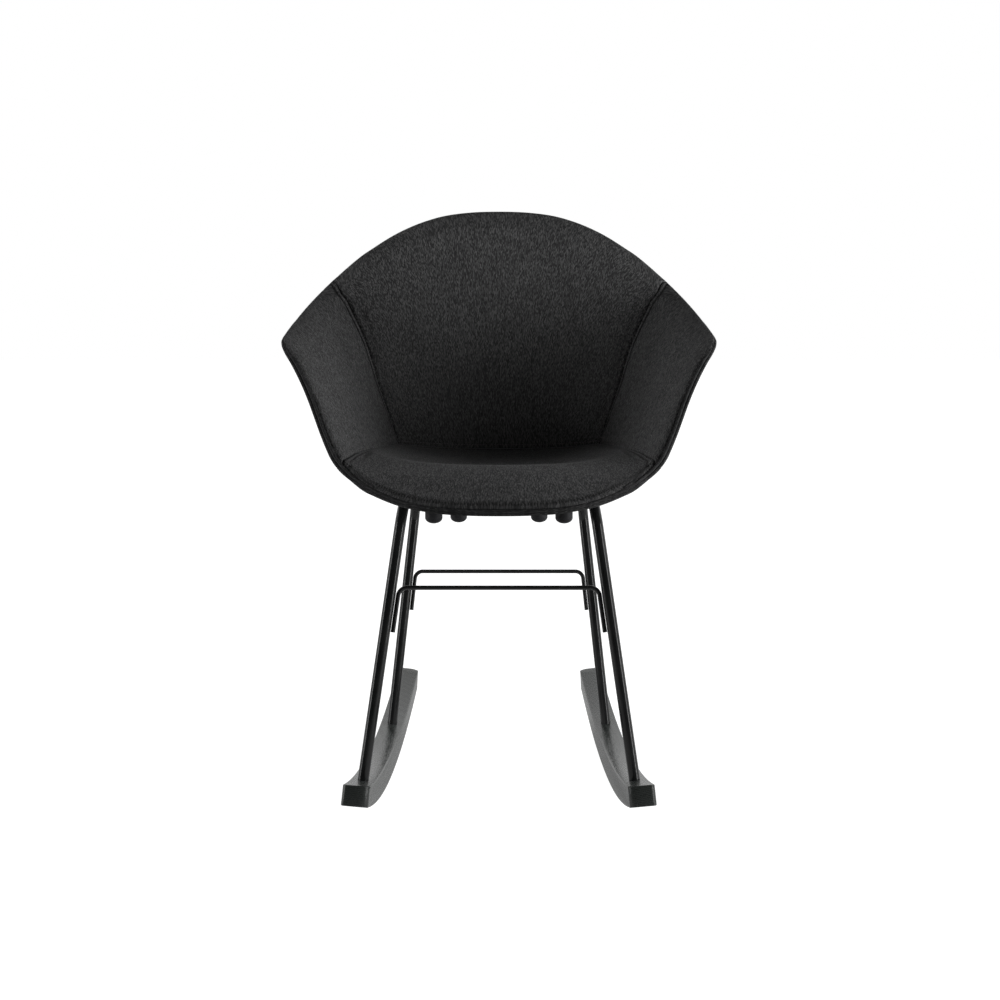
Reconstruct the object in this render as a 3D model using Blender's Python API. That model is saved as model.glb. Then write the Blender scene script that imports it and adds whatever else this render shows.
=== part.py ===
# Upholstered rocking chair. A bent steel tube base on two wooden rockers carries a moulded
# bucket shell, padded inside with four foam pieces under four sewn panels and covered outside.
# Metres, +Z up. The sitter faces -Y, and the origin is on the floor midway along the rockers.

import math

import bmesh
import bpy
import numpy as np
from mathutils import Matrix
from mathutils import Vector
from mathutils.bvhtree import BVHTree

# Fits
GAP = 0.0003  # between pieces that touch
HOLE_CLEARANCE = 0.0004  # on the radius of a drilled hole round its screw

# Rockers, measured along the rocker and up from its sole
ROCKER_LENGTH = 0.6432
ROCKER_WIDTH = 0.0348
ROCKER_THICKNESS = 0.0385
ROCKER_SPREAD = 0.1739  # middle of the rocker to the middle of the chair
ROCKER_TOE = math.radians(3.0)  # each rocker turns in towards the back
ROCKER_ROLL = math.radians(4.5)  # and leans with the splay of the legs
SOLE_RADIUS = 1.054
SOLE_LOW = 0.0262  # where the sole touches the floor at rest
SOLE_FACET = 0.034  # the curves are cut as short flats
TOP_RADIUS = 1.218
TOP_LOW = 0.0182
END_ROUND = 0.008
EDGE_ROUND = 0.0015

# Tube frames
TUBE_RADIUS = 0.0075
TUBE_WALL = 0.0015
TUBE_BEND = 0.040
FRONT_LEG_AT = -0.2353  # along the rocker
REAR_LEG_AT = 0.1062
RAIL_HALF = 0.127
RAIL_FRONT_Y = -0.1773
RAIL_FRONT_Z = 0.4345
RAIL_REAR_Y = 0.1602
RAIL_REAR_Z = 0.390
SOCKET_DEPTH = 0.014

# Stretcher rods
ROD_RADIUS = 0.003
ROD_BEND = 0.012
ROD_TAIL = 0.060
FRONT_ROD_Z = 0.3198
REAR_ROD_Z = 0.274

# Leg plugs and the screws that hold the rockers
PLUG_LENGTH = 0.026
SCREW_RADIUS = 0.003
SCREW_HEAD_RADIUS = 0.0055
SCREW_HEAD_HEIGHT = 0.004
SCREW_HEAD_EASE = 0.001
SCREW_WOOD = 0.007  # wood between the screw head and the leg's socket
SCREW_REACH = 0.016  # thread inside the plug

# Cross bars and shell mounts
BAR_WIDTH = 0.030
BAR_THICKNESS = 0.004
BAR_OVERHANG = 0.005
BAR_CORNER = 0.006
FRONT_MOUNT_Y = -0.1148
FRONT_MOUNT_HALF = 0.0895
REAR_MOUNT_Y = -0.0098
REAR_MOUNT_HALF = 0.058
BOSS_RADIUS = 0.010
BOLT_RADIUS = 0.003
BOLT_REACH = 0.014  # thread inside the boss
BOLT_HEAD_RADIUS = 0.005
BOLT_HEAD_HEIGHT = 0.005
CAP_RADIUS = 0.012
FRONT_CAP_HEIGHT = 0.021
REAR_CAP_HEIGHT = 0.0235
CAP_DOME = 0.0055
CAP_ROOM = 0.001  # round the bolt head

# Upholstery layers
PAD_THICKNESS = 0.020
PAD_AT_RIM = 0.007
RIM_TAPER = 0.070
COVER_THICKNESS = 0.0016
SHELL_WALL = 0.004
OUTER_COVER_THICKNESS = 0.002
SEAM_DRAW = 0.003  # how far a seam pulls the cover in
SEAM_ROLL = 0.014  # and over what width
BAND_DEPTH = 0.0045

# Points on the inner face of the right half: x across, y back, z up
FRONT_EDGE = (0.0, -0.3108, 0.449)
FRONT_ROLL = (0.0, -0.2973, 0.469)
FRONT_CROWN = (0.0, -0.2693, 0.488)
SEAT_CREST = (0.0, -0.2343, 0.4915)
SEAT_MIDDLE = (0.0, -0.1148, 0.4695)
SEAT_LOW = (0.0, 0.0347, 0.459)
SEAT_REAR = (0.0, 0.1337, 0.461)
BACK_FOOT = (0.0, 0.1672, 0.505)
BACK_LUMBAR = (0.0, 0.1872, 0.5625)
BACK_MIDDLE = (0.0, 0.2062, 0.632)
BACK_UPPER = (0.0, 0.2312, 0.721)
BACK_TOP = (0.0, 0.2617, 0.825)
SEAM_FRONT = (0.2045, -0.2133, 0.4935)
SEAM_THIGH = (0.185, -0.0978, 0.491)
SEAM_HIP = (0.167, 0.0217, 0.4815)
SEAM_REAR = (0.152, 0.1052, 0.4725)
SEAM_WAIST = (0.1805, 0.1432, 0.5405)
SEAM_SHOULDER = (0.2085, 0.1732, 0.6335)
SEAM_TOP = (0.259, 0.1997, 0.7095)
ARM_FOOT = (0.222, -0.1688, 0.515)
ARM_FRONT = (0.2525, -0.0943, 0.575)
ARM_CORNER = (0.3, -0.0113, 0.641)
ARM_TOP = (0.2865, 0.0847, 0.669)

# How the seat and back bow from the middle out to the side seams, as powers of the distance
FRONT_RIM_BOW_POWERS = (3.78, 4.54)
SEAT_REAR_BOW_POWERS = (2.0, 2.0)
TOP_RIM_BOW_POWERS = (2.0, 2.62)

# Fineness
CELLS_ACROSS = 12
CELLS_ALONG_SEAT = 12
CELLS_UP_BACK = 10
EDGE_CELL = 0.03  # first and last cell, as a share of the panel
FRONT_BIAS = 1.35  # more cells near the front roll
SMOOTHING_STEPS = 10
RIM_ROUNDING_STEPS = 2
TUBE_SIDES = 12
ROD_SIDES = 10
TURNED_SIDES = 16
BAND_SIDES = 6
BEND_STEPS = 6
ROUND_STEPS = 4
SHARP_ANGLE = math.radians(30)


def clear_scene():
    for thing in list(bpy.data.objects):
        bpy.data.objects.remove(thing, do_unlink=True)


def material(name, colour, roughness, metallic):
    made = bpy.data.materials.new(name)
    made.use_nodes = True
    shader = made.node_tree.nodes["Principled BSDF"]
    shader.inputs["Base Color"].default_value = (*colour, 1.0)
    shader.inputs["Roughness"].default_value = roughness
    shader.inputs["Metallic"].default_value = metallic
    return made


def object_from(name, mesh_maker, finish, parent, smooth_angle=40.0):
    mesh = bpy.data.meshes.new(name)
    mesh_maker.to_mesh(mesh)
    mesh_maker.free()
    mesh.materials.append(finish)
    mesh.shade_smooth()
    mesh.set_sharp_from_angle(angle=math.radians(smooth_angle))
    made = bpy.data.objects.new(name, mesh)
    bpy.context.scene.collection.objects.link(made)
    made.parent = parent
    return made


def cutter_from(name, mesh_maker):
    made = object_from(name, mesh_maker, None, None)
    made.hide_render = True
    made.display_type = "WIRE"
    return made


def add_boolean(thing, tool, operation):
    step = thing.modifiers.new(operation.lower(), "BOOLEAN")
    step.operation = operation
    step.solver = "EXACT"
    step.object = tool


def faces_out(mesh_maker):
    bmesh.ops.recalc_face_normals(mesh_maker, faces=mesh_maker.faces[:])
    return mesh_maker


def turned(profile, sides=TURNED_SIDES):
    # Solid of revolution about Z from (radius, height) points that start and end on the axis
    maker = bmesh.new()
    points = [maker.verts.new((radius, 0.0, height)) for radius, height in profile]
    edges = [maker.edges.new(pair) for pair in zip(points, points[1:])]
    bmesh.ops.spin(
        maker, geom=points + edges, cent=(0, 0, 0), axis=(0, 0, 1),
        angle=math.tau, steps=sides, use_merge=True, use_duplicate=False)
    bmesh.ops.remove_doubles(maker, verts=maker.verts[:], dist=1e-6)
    return faces_out(maker)


def rounded_path(corners, radius, steps=BEND_STEPS):
    # Straight runs joined by arcs of one radius
    path = [corners[0]]
    for before, corner, after in zip(corners, corners[1:], corners[2:]):
        back = (before - corner).normalized()
        ahead = (after - corner).normalized()
        half = back.angle(ahead) / 2
        middle = corner + (back + ahead).normalized() * radius / math.sin(half)
        start = corner + back * radius / math.tan(half) - middle
        turn = start.cross(corner + ahead * radius / math.tan(half) - middle)
        sweep = math.pi - 2 * half
        for step in range(steps + 1):
            spin = Matrix.Rotation(sweep * step / steps, 3, turn)
            path.append(middle + spin @ start)
    path.append(corners[-1])
    return path


def path_frames(path):
    # Two directions across the path at each point, carried along without twist
    tangents = []
    for before, after in zip(path[:1] + path[:-1], path[1:] + path[-1:]):
        tangents.append((after - before).normalized())
    across = tangents[0].orthogonal().normalized()
    frames = []
    for tangent in tangents:
        across = (across - tangent * across.dot(tangent)).normalized()
        frames.append((across, tangent.cross(across)))
    return frames


def ring(maker, centre, frame, radius, sides):
    across, up = frame
    made = []
    for side in range(sides):
        turn = math.tau * side / sides
        made.append(maker.verts.new(centre + radius * (across * math.cos(turn) + up * math.sin(turn))))
    return made


def join_rings(maker, first, second):
    for here in range(len(first)):
        there = (here + 1) % len(first)
        maker.faces.new((first[here], first[there], second[there], second[here]))


def swept(path, radius, bore=0.0, sides=TUBE_SIDES):
    # Round bar along the path, or a tube where there is a bore
    maker = bmesh.new()
    frames = path_frames(path)
    skins = []
    for size in (radius, bore):
        if size > 0.0:
            skins.append([ring(maker, point, frame, size, sides) for point, frame in zip(path, frames)])
    for rings in skins:
        for first, second in zip(rings, rings[1:]):
            join_rings(maker, first, second)
    for end in (0, -1):
        if bore > 0.0:
            join_rings(maker, skins[0][end], skins[1][end])
        else:
            maker.faces.new(skins[0][end])
    return faces_out(maker)


# Rockers


def arc_rise(radius, along):
    return radius - math.sqrt(radius * radius - along * along)


def sole_height(at):
    flat = arc_rise(SOLE_RADIUS, SOLE_FACET / 2)
    return max(arc_rise(SOLE_RADIUS, at - SOLE_LOW) - flat, 0.0)


def top_height(at):
    return ROCKER_THICKNESS + arc_rise(TOP_RADIUS, at - TOP_LOW)


def rocker_matrix(side):
    lift = (ROCKER_WIDTH / 2 - EDGE_ROUND) * math.sin(ROCKER_ROLL)
    place = Matrix.Translation((side * ROCKER_SPREAD, 0.0, lift))
    toe = Matrix.Rotation(side * ROCKER_TOE, 4, "Z")
    roll = Matrix.Rotation(-side * ROCKER_ROLL, 4, "Y")
    return place @ toe @ roll


def end_rake(end):
    # The ends are cut square to the sole, so their top corners lean back in
    lean = (end - SOLE_LOW) / SOLE_RADIUS
    return (top_height(end) - sole_height(end)) * lean


def rocker_outline():
    half = ROCKER_LENGTH / 2
    count = int((half + SOLE_LOW) / SOLE_FACET)
    facets = [SOLE_LOW + (step + 0.5) * SOLE_FACET for step in range(-2 * count, 2 * count)]
    inner = [at for at in facets if abs(at) < half - SOLE_FACET / 4]
    sole = [(at, sole_height(at)) for at in [-half] + inner + [half]]
    ends = (-half - end_rake(-half), half - end_rake(half))
    run = [ends[0] + (ends[1] - ends[0]) * step / len(inner) for step in range(len(inner) + 1)]
    top = [(at, top_height(at)) for at in reversed(run)]
    return sole + top


def rocker_mesh():
    maker = bmesh.new()
    outline = [maker.verts.new((-ROCKER_WIDTH / 2, at, height)) for at, height in rocker_outline()]
    face = maker.faces.new(outline)
    pushed = bmesh.ops.extrude_face_region(maker, geom=[face])
    moved = [item for item in pushed["geom"] if isinstance(item, bmesh.types.BMVert)]
    bmesh.ops.translate(maker, verts=moved, vec=(ROCKER_WIDTH, 0.0, 0.0))
    faces_out(maker)
    limit = ROCKER_LENGTH / 2 - 2 * END_ROUND
    ends = [edge for edge in maker.edges if is_upright_end(edge, limit)]
    bmesh.ops.bevel(maker, geom=ends, offset=END_ROUND, segments=ROUND_STEPS, profile=0.5, affect="EDGES")
    sharp = [edge for edge in maker.edges if edge.calc_face_angle() > SHARP_ANGLE]
    bmesh.ops.bevel(maker, geom=sharp, offset=EDGE_ROUND, segments=2, profile=0.5, affect="EDGES")
    return faces_out(maker)


def is_upright_end(edge, limit):
    run = edge.verts[1].co - edge.verts[0].co
    return abs(edge.verts[0].co.y) > limit and abs(run.z) > ROCKER_THICKNESS / 2


def leg_line(side, at, rail_y, rail_z):
    # The middle of the rocker's top and the bend under the seat that the leg runs between
    foot = rocker_matrix(side) @ Vector((0.0, at, top_height(at)))
    corner = Vector((side * RAIL_HALF, rail_y, rail_z))
    return foot, corner


def front_leg(side):
    return leg_line(side, FRONT_LEG_AT, RAIL_FRONT_Y, RAIL_FRONT_Z)


def rear_leg(side):
    return leg_line(side, REAR_LEG_AT, RAIL_REAR_Y, RAIL_REAR_Z)


def leg_matrix(leg):
    # Z runs up the leg from the floor of its socket
    foot, corner = leg
    up = (corner - foot).normalized()
    turn = up.to_track_quat("Z", "Y").to_matrix().to_4x4()
    return Matrix.Translation(foot - up * SOCKET_DEPTH) @ turn


def socket_cutter(name, leg):
    # Socket for the tube, hole for the screw and counterbore for its head, on one axis
    through = ROCKER_THICKNESS
    hole = SCREW_RADIUS + HOLE_CLEARANCE
    head = SCREW_HEAD_RADIUS + HOLE_CLEARANCE
    socket = TUBE_RADIUS + GAP
    made = cutter_from(name, turned([
        (0.0, -through), (head, -through), (head, -SCREW_WOOD), (hole, -SCREW_WOOD),
        (hole, -GAP), (socket, -GAP), (socket, through), (0.0, through)]))
    made.matrix_world = leg_matrix(leg)
    return made


def build_rocker(name, side, finish, parent):
    made = object_from(name, rocker_mesh(), finish, parent)
    made.matrix_world = rocker_matrix(side)
    for place, leg in (("front", front_leg(side)), ("rear", rear_leg(side))):
        add_boolean(made, socket_cutter(f"{name}_{place}_socket", leg), "DIFFERENCE")


# Tube frames and rods


def build_side_frame(name, side, finish, parent):
    front_foot = leg_matrix(front_leg(side)).translation
    rear_foot = leg_matrix(rear_leg(side)).translation
    corners = [front_foot, front_leg(side)[1], rear_leg(side)[1], rear_foot]
    path = rounded_path(corners, TUBE_BEND)
    object_from(name, swept(path, TUBE_RADIUS, TUBE_RADIUS - TUBE_WALL), finish, parent)


def rod_line(leg, side):
    # The rod lies along the inner side of the leg
    foot, corner = leg
    up = (corner - foot).normalized()
    inward = Vector((-side, 0.0, 0.0))
    inward = (inward - up * inward.dot(up)).normalized()
    return foot + inward * (TUBE_RADIUS + ROD_RADIUS + GAP), up


def build_stretcher(name, leg_of, height, finish, parent):
    corners = []
    for side in (1, -1):
        start, up = rod_line(leg_of(side), side)
        bend = start + up * (height - start.z) / up.z
        tail = bend - up * ROD_TAIL
        corners += [tail, bend] if side == 1 else [bend, tail]
    path = rounded_path(corners, ROD_BEND)
    object_from(name, swept(path, ROD_RADIUS, sides=ROD_SIDES), finish, parent)


def build_plug(name, leg, finish, parent):
    outside = TUBE_RADIUS - TUBE_WALL - GAP
    thread = SCREW_RADIUS + GAP
    depth = SCREW_REACH + SCREW_RADIUS
    made = object_from(name, turned([
        (0.0, depth), (thread, depth), (thread, 0.0), (outside, 0.0),
        (outside, PLUG_LENGTH), (0.0, PLUG_LENGTH)]), finish, parent)
    made.matrix_world = leg_matrix(leg)


def build_rocker_screw(name, leg, finish, parent):
    seat = -SCREW_WOOD - GAP
    made = object_from(name, turned([
        (0.0, seat - SCREW_HEAD_HEIGHT), (SCREW_HEAD_RADIUS - SCREW_HEAD_EASE, seat - SCREW_HEAD_HEIGHT),
        (SCREW_HEAD_RADIUS, seat - SCREW_HEAD_HEIGHT + SCREW_HEAD_EASE), (SCREW_HEAD_RADIUS, seat),
        (SCREW_RADIUS, seat), (SCREW_RADIUS, SCREW_REACH), (0.0, SCREW_REACH)]), finish, parent)
    made.matrix_world = leg_matrix(leg)


# Cross bars and shell mounts


def rail_slope():
    return math.atan2(RAIL_FRONT_Z - RAIL_REAR_Z, RAIL_REAR_Y - RAIL_FRONT_Y)


def mount_matrix(across, along):
    # Z is square to the rails and starts at the underside of the cross bar
    height = RAIL_FRONT_Z - (along - RAIL_FRONT_Y) * math.tan(rail_slope())
    turn = Matrix.Rotation(-rail_slope(), 4, "X")
    drop = Vector((0.0, 0.0, -TUBE_RADIUS - GAP - BAR_THICKNESS))
    return Matrix.Translation((across, along, height)) @ turn @ Matrix.Translation(drop)


def mounts():
    places = []
    rows = (("front", FRONT_MOUNT_Y, FRONT_MOUNT_HALF), ("rear", REAR_MOUNT_Y, REAR_MOUNT_HALF))
    for row, along, half in rows:
        for hand, side in (("left", -1), ("right", 1)):
            places.append((f"{row}_{hand}", mount_matrix(side * half, along)))
    return places


def build_cross_bar(name, along, half, finish, parent):
    maker = bmesh.new()
    bmesh.ops.create_cube(maker, size=1.0)
    length = 2 * (RAIL_HALF + BAR_OVERHANG)
    bmesh.ops.scale(maker, verts=maker.verts[:], vec=(length, BAR_WIDTH, BAR_THICKNESS))
    bmesh.ops.translate(maker, verts=maker.verts[:], vec=(0.0, 0.0, BAR_THICKNESS / 2))
    upright = [
        edge for edge in maker.edges
        if abs(edge.verts[0].co.z - edge.verts[1].co.z) > BAR_THICKNESS / 2]
    bmesh.ops.bevel(maker, geom=upright, offset=BAR_CORNER, segments=ROUND_STEPS, profile=0.5, affect="EDGES")
    made = object_from(name, faces_out(maker), finish, parent)
    made.matrix_world = mount_matrix(0.0, along)
    for side in (-1, 1):
        radius = BOLT_RADIUS + HOLE_CLEARANCE
        hole = cutter_from(f"{name}_hole", turned([
            (0.0, -BAR_THICKNESS), (radius, -BAR_THICKNESS),
            (radius, 2 * BAR_THICKNESS), (0.0, 2 * BAR_THICKNESS)]))
        hole.matrix_world = mount_matrix(side * half, along)
        add_boolean(made, hole, "DIFFERENCE")


def build_mount_bolt(name, place, finish, parent):
    tip = BAR_THICKNESS + GAP + BOLT_REACH
    made = object_from(name, turned([
        (0.0, -GAP - BOLT_HEAD_HEIGHT), (BOLT_HEAD_RADIUS, -GAP - BOLT_HEAD_HEIGHT),
        (BOLT_HEAD_RADIUS, -GAP), (BOLT_RADIUS, -GAP), (BOLT_RADIUS, tip), (0.0, tip)]), finish, parent)
    made.matrix_world = place


def build_mount_cap(name, place, height, finish, parent):
    hollow = BOLT_HEAD_RADIUS + CAP_ROOM
    roof = -GAP - BOLT_HEAD_HEIGHT - CAP_ROOM
    profile = [(0.0, roof), (hollow, roof), (hollow, -GAP), (CAP_RADIUS, -GAP)]
    for step in range(BEND_STEPS + 1):
        turn = math.pi / 2 * step / BEND_STEPS
        profile.append((CAP_RADIUS * math.cos(turn), CAP_DOME - height - CAP_DOME * math.sin(turn)))
    made = object_from(name, turned(profile), finish, parent)
    made.matrix_world = place


# Upholstered bucket: one curved inner face, and layers stacked outwards from it


def spline(points, fractions):
    # Smooth curve through the points, read at fractions of its length
    points = np.array(points, float)
    chord = np.concatenate(([0.0], np.cumsum(np.linalg.norm(np.diff(points, axis=0), axis=1))))
    slopes = np.gradient(points, chord, axis=0, edge_order=2)
    fine = np.linspace(0.0, chord[-1], 400)
    piece = np.clip(np.searchsorted(chord, fine, side="right") - 1, 0, len(points) - 2)
    span = (chord[piece + 1] - chord[piece])[:, None]
    part = (fine - chord[piece])[:, None] / span
    rise = part * part * (3 - 2 * part)
    curve = points[piece] * (1 - rise) + points[piece + 1] * rise
    curve += slopes[piece] * span * part * (1 - part) ** 2
    curve -= slopes[piece + 1] * span * part * part * (1 - part)
    length = np.concatenate(([0.0], np.cumsum(np.linalg.norm(np.diff(curve, axis=0), axis=1))))
    wanted = np.asarray(fractions) * length[-1]
    return np.stack([np.interp(wanted, length, curve[:, axis]) for axis in range(3)], axis=1)


def graded(cells, bias=1.0):
    # Fractions with a narrow cell at each end for the drawn-in edge of a panel
    inner = np.linspace(0.0, 1.0, cells - 1) ** bias
    return np.concatenate(([0.0], EDGE_CELL + (1 - 2 * EDGE_CELL) * inner, [1.0]))


def bowed(middle, side, across, near_bow, far_bow):
    # Rows from the middle line out to both side seams
    rows = len(middle)
    blend = np.linspace(0.0, 1.0, rows)[:, None]
    reach = np.abs(across)[None, :]
    powers = [near * (1 - blend) + far * blend for near, far in zip(near_bow, far_bow)]
    grid = np.empty((rows, len(across), 3))
    grid[:, :, 0] = side[:, 0:1] * across[None, :]
    for axis, power in zip((1, 2), powers):
        grid[:, :, axis] = middle[:, axis:axis + 1] + (side - middle)[:, axis:axis + 1] * reach ** power
    return grid


def four_sided(low, high, near, far):
    # Patch between two pairs of facing edges that share their corners
    p = np.linalg.norm(low - low[0], axis=1) / np.linalg.norm(low[-1] - low[0])
    q = np.linalg.norm(near - near[0], axis=1) / np.linalg.norm(near[-1] - near[0])
    p = p[:, None, None]
    q = q[None, :, None]
    between = (1 - q) * low[:, None] + q * high[:, None] + (1 - p) * near[None] + p * far[None]
    corners = (1 - p) * (1 - q) * low[0] + p * (1 - q) * low[-1] + (1 - p) * q * high[0] + p * q * high[-1]
    return between - corners


def panel_grids():
    across = 2 * graded(CELLS_ACROSS) - 1
    along = graded(CELLS_ALONG_SEAT, FRONT_BIAS)
    up = graded(CELLS_UP_BACK)
    seat_middle = spline(
        (FRONT_EDGE, FRONT_ROLL, FRONT_CROWN, SEAT_CREST, SEAT_MIDDLE, SEAT_LOW, SEAT_REAR), along)
    back_middle = spline((SEAT_REAR, BACK_FOOT, BACK_LUMBAR, BACK_MIDDLE, BACK_UPPER, BACK_TOP), up)
    seat_seam = spline((SEAM_FRONT, SEAM_THIGH, SEAM_HIP, SEAM_REAR), along)
    back_seam = spline((SEAM_REAR, SEAM_WAIST, SEAM_SHOULDER, SEAM_TOP), up)
    arm_front = spline((SEAM_FRONT, ARM_FOOT, ARM_FRONT, ARM_CORNER), up)
    arm_top = spline((ARM_CORNER, ARM_TOP, SEAM_TOP), along)
    arm = four_sided(seat_seam[::-1], arm_top[::-1], back_seam, arm_front)
    mirror = np.array((-1.0, 1.0, 1.0))
    return {
        "seat": bowed(seat_middle, seat_seam, across, FRONT_RIM_BOW_POWERS, SEAT_REAR_BOW_POWERS),
        "back": bowed(back_middle, back_seam, across, SEAT_REAR_BOW_POWERS, TOP_RIM_BOW_POWERS),
        "left_arm": arm * mirror,
        "right_arm": arm,
    }


class InnerFace:
    # The panels welded along their seams into one sheet of four-cornered cells

    def __init__(self, grids):
        self.points = []
        self.cells = []
        self.panel_of_cell = []
        known = {}
        for panel, grid in grids.items():
            self.add_panel(panel, grid, known)
        self.points = np.array(self.points)
        self.cells = np.array(self.cells)
        self.rim = self.find_rim()
        self.round_rim()
        self.smooth()
        self.normals = self.find_normals()
        seams = self.seam_edges()
        self.from_rim = self.distance_to([(a, b) for a, b in zip(self.rim, np.roll(self.rim, -1))])
        self.from_seam = self.distance_to(seams)

    def add_panel(self, panel, grid, known):
        rows, columns = grid.shape[:2]
        index = np.empty((rows, columns), int)
        for row in range(rows):
            for column in range(columns):
                key = tuple(np.round(grid[row, column], 6))
                if key not in known:
                    known[key] = len(self.points)
                    self.points.append(grid[row, column])
                index[row, column] = known[key]
        cells = [
            (index[r, c], index[r, c + 1], index[r + 1, c + 1], index[r + 1, c])
            for r in range(rows - 1) for c in range(columns - 1)]
        if panel == "right_arm":
            cells = [cell[::-1] for cell in cells]
        self.cells += cells
        self.panel_of_cell += [panel] * len(cells)

    def edges_with_panels(self):
        found = {}
        for cell, panel in zip(self.cells, self.panel_of_cell):
            for a, b in zip(cell, np.roll(cell, -1)):
                found.setdefault((min(a, b), max(a, b)), []).append((panel, (a, b)))
        return found

    def seam_edges(self):
        return [key for key, uses in self.edges_with_panels().items() if len({use[0] for use in uses}) == 2]

    def find_rim(self):
        after = {uses[0][1][0]: uses[0][1][1] for uses in self.edges_with_panels().values() if len(uses) == 1}
        loop = [next(iter(after))]
        while after[loop[-1]] != loop[0]:
            loop.append(after[loop[-1]])
        return np.array(loop)

    def round_rim(self):
        for _ in range(RIM_ROUNDING_STEPS):
            rim = self.points[self.rim]
            self.points[self.rim] = rim / 2 + (np.roll(rim, 1, axis=0) + np.roll(rim, -1, axis=0)) / 4

    def find_normals(self):
        total = np.zeros_like(self.points)
        corners = self.points[self.cells]
        facing = np.cross(corners[:, 2] - corners[:, 0], corners[:, 3] - corners[:, 1])
        for corner in range(4):
            np.add.at(total, self.cells[:, corner], facing)
        return total / np.linalg.norm(total, axis=1)[:, None]

    def smooth(self):
        # Ease the folds along the seams, square to the face, with the rim held
        pairs = np.array(list(self.edges_with_panels()))
        count = np.bincount(pairs.ravel(), minlength=len(self.points))[:, None]
        for _ in range(SMOOTHING_STEPS):
            total = np.zeros_like(self.points)
            np.add.at(total, pairs[:, 0], self.points[pairs[:, 1]])
            np.add.at(total, pairs[:, 1], self.points[pairs[:, 0]])
            normals = self.find_normals()
            step = ((total / count - self.points) * normals).sum(axis=1)
            step[self.rim] = 0.0
            self.points += normals * step[:, None] / 2

    def distance_to(self, edges):
        best = np.full(len(self.points), np.inf)
        for a, b in edges:
            start = self.points[a]
            run = self.points[b] - start
            part = np.clip((self.points - start) @ run / (run @ run), 0.0, 1.0)
            best = np.minimum(best, np.linalg.norm(self.points - start - part[:, None] * run, axis=1))
        return best

    def drawn_in(self):
        near = np.minimum(self.from_rim, self.from_seam)
        return SEAM_DRAW * np.clip(1 - near / SEAM_ROLL, 0.0, 1.0) ** 2

    def pad(self):
        part = np.clip(self.from_rim / RIM_TAPER, 0.0, 1.0)
        return PAD_AT_RIM + (PAD_THICKNESS - PAD_AT_RIM) * part * part * (3 - 2 * part)

    def shell_inside(self):
        return self.pad() + GAP

    def outer_cover_inside(self):
        return self.shell_inside() + SHELL_WALL + GAP

    def stack_at_rim(self):
        return PAD_AT_RIM + SHELL_WALL + OUTER_COVER_THICKNESS + 2 * GAP


def layer_mesh(points, normals, cells, near, far):
    # Closed solid between two depths behind the inner face
    maker = bmesh.new()
    front = [maker.verts.new(point) for point in points - normals * near[:, None]]
    behind = [maker.verts.new(point) for point in points - normals * far[:, None]]
    used = {}
    for cell in cells:
        maker.faces.new([front[corner] for corner in cell])
        maker.faces.new([behind[corner] for corner in reversed(cell)])
        for a, b in zip(cell, np.roll(cell, -1)):
            used[(a, b)] = True
    for a, b in used:
        if (b, a) not in used:
            maker.faces.new((front[b], front[a], behind[a], behind[b]))
    loose = [vert for vert in maker.verts if not vert.link_faces]
    bmesh.ops.delete(maker, geom=loose, context="VERTS")
    bmesh.ops.triangulate(maker, faces=maker.faces[:], quad_method="SHORT_EDGE")
    return maker


def panel_points(face, panel):
    # The panel's points, moved in from its seams by half a gap
    cells = face.cells[[name == panel for name in face.panel_of_cell]]
    points = face.points.copy()
    used = {}
    for cell in cells:
        for a, b in zip(cell, np.roll(cell, -1)):
            used[(a, b)] = True
    border = [(a, b) for a, b in used if (b, a) not in used]
    rim = set(face.rim)
    for a, b in border:
        if a in rim and b in rim:
            continue
        run = face.points[b] - face.points[a]
        inward = np.cross(face.normals[a] + face.normals[b], run)
        inward = inward / np.linalg.norm(inward) * GAP / 2
        points[a] += inward
        points[b] += inward
    return points, cells


def build_panel(face, panel, finishes, parent):
    points, cells = panel_points(face, panel)
    drawn = face.drawn_in()
    under = drawn + COVER_THICKNESS
    cover = layer_mesh(points, face.normals, cells, drawn, under)
    object_from(f"{panel}_cover", cover, finishes["fabric"], parent)
    foam = layer_mesh(points, face.normals, cells, under + GAP, face.pad())
    object_from(f"{panel}_foam", foam, finishes["foam"], parent)


def boss_mesh(place, face):
    # Round post from the cross bar up to the middle of the shell's wall
    depth = (face.shell_inside() + SHELL_WALL / 2)[:, None]
    wall = BVHTree.FromPolygons((face.points - face.normals * depth).tolist(), face.cells.tolist())
    up = place.to_3x3() @ Vector((0.0, 0.0, 1.0))
    maker = bmesh.new()
    low = []
    high = []
    for side in range(TURNED_SIDES):
        turn = math.tau * side / TURNED_SIDES
        foot = place @ Vector((
            BOSS_RADIUS * math.cos(turn), BOSS_RADIUS * math.sin(turn), BAR_THICKNESS + GAP))
        low.append(maker.verts.new(foot))
        high.append(maker.verts.new(wall.ray_cast(foot, up)[0]))
    join_rings(maker, low, high)
    maker.faces.new(low)
    roof = bmesh.ops.contextual_create(maker, geom=high)["faces"]
    bmesh.ops.triangulate(maker, faces=roof)
    return faces_out(maker)


def build_shell(face, finish, parent):
    inside = face.shell_inside()
    mesh = layer_mesh(face.points, face.normals, face.cells, inside, inside + SHELL_WALL)
    made = object_from("seat_shell", mesh, finish, parent)
    thread = BOLT_RADIUS + GAP
    floor = BAR_THICKNESS
    roof = floor + GAP + BOLT_REACH + BOLT_RADIUS
    for name, place in mounts():
        add_boolean(made, cutter_from(f"{name}_boss", boss_mesh(place, face)), "UNION")
        bore = cutter_from(f"{name}_bore", turned([
            (0.0, floor), (thread, floor), (thread, roof), (0.0, roof)]))
        bore.matrix_world = place
        add_boolean(made, bore, "DIFFERENCE")


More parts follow.
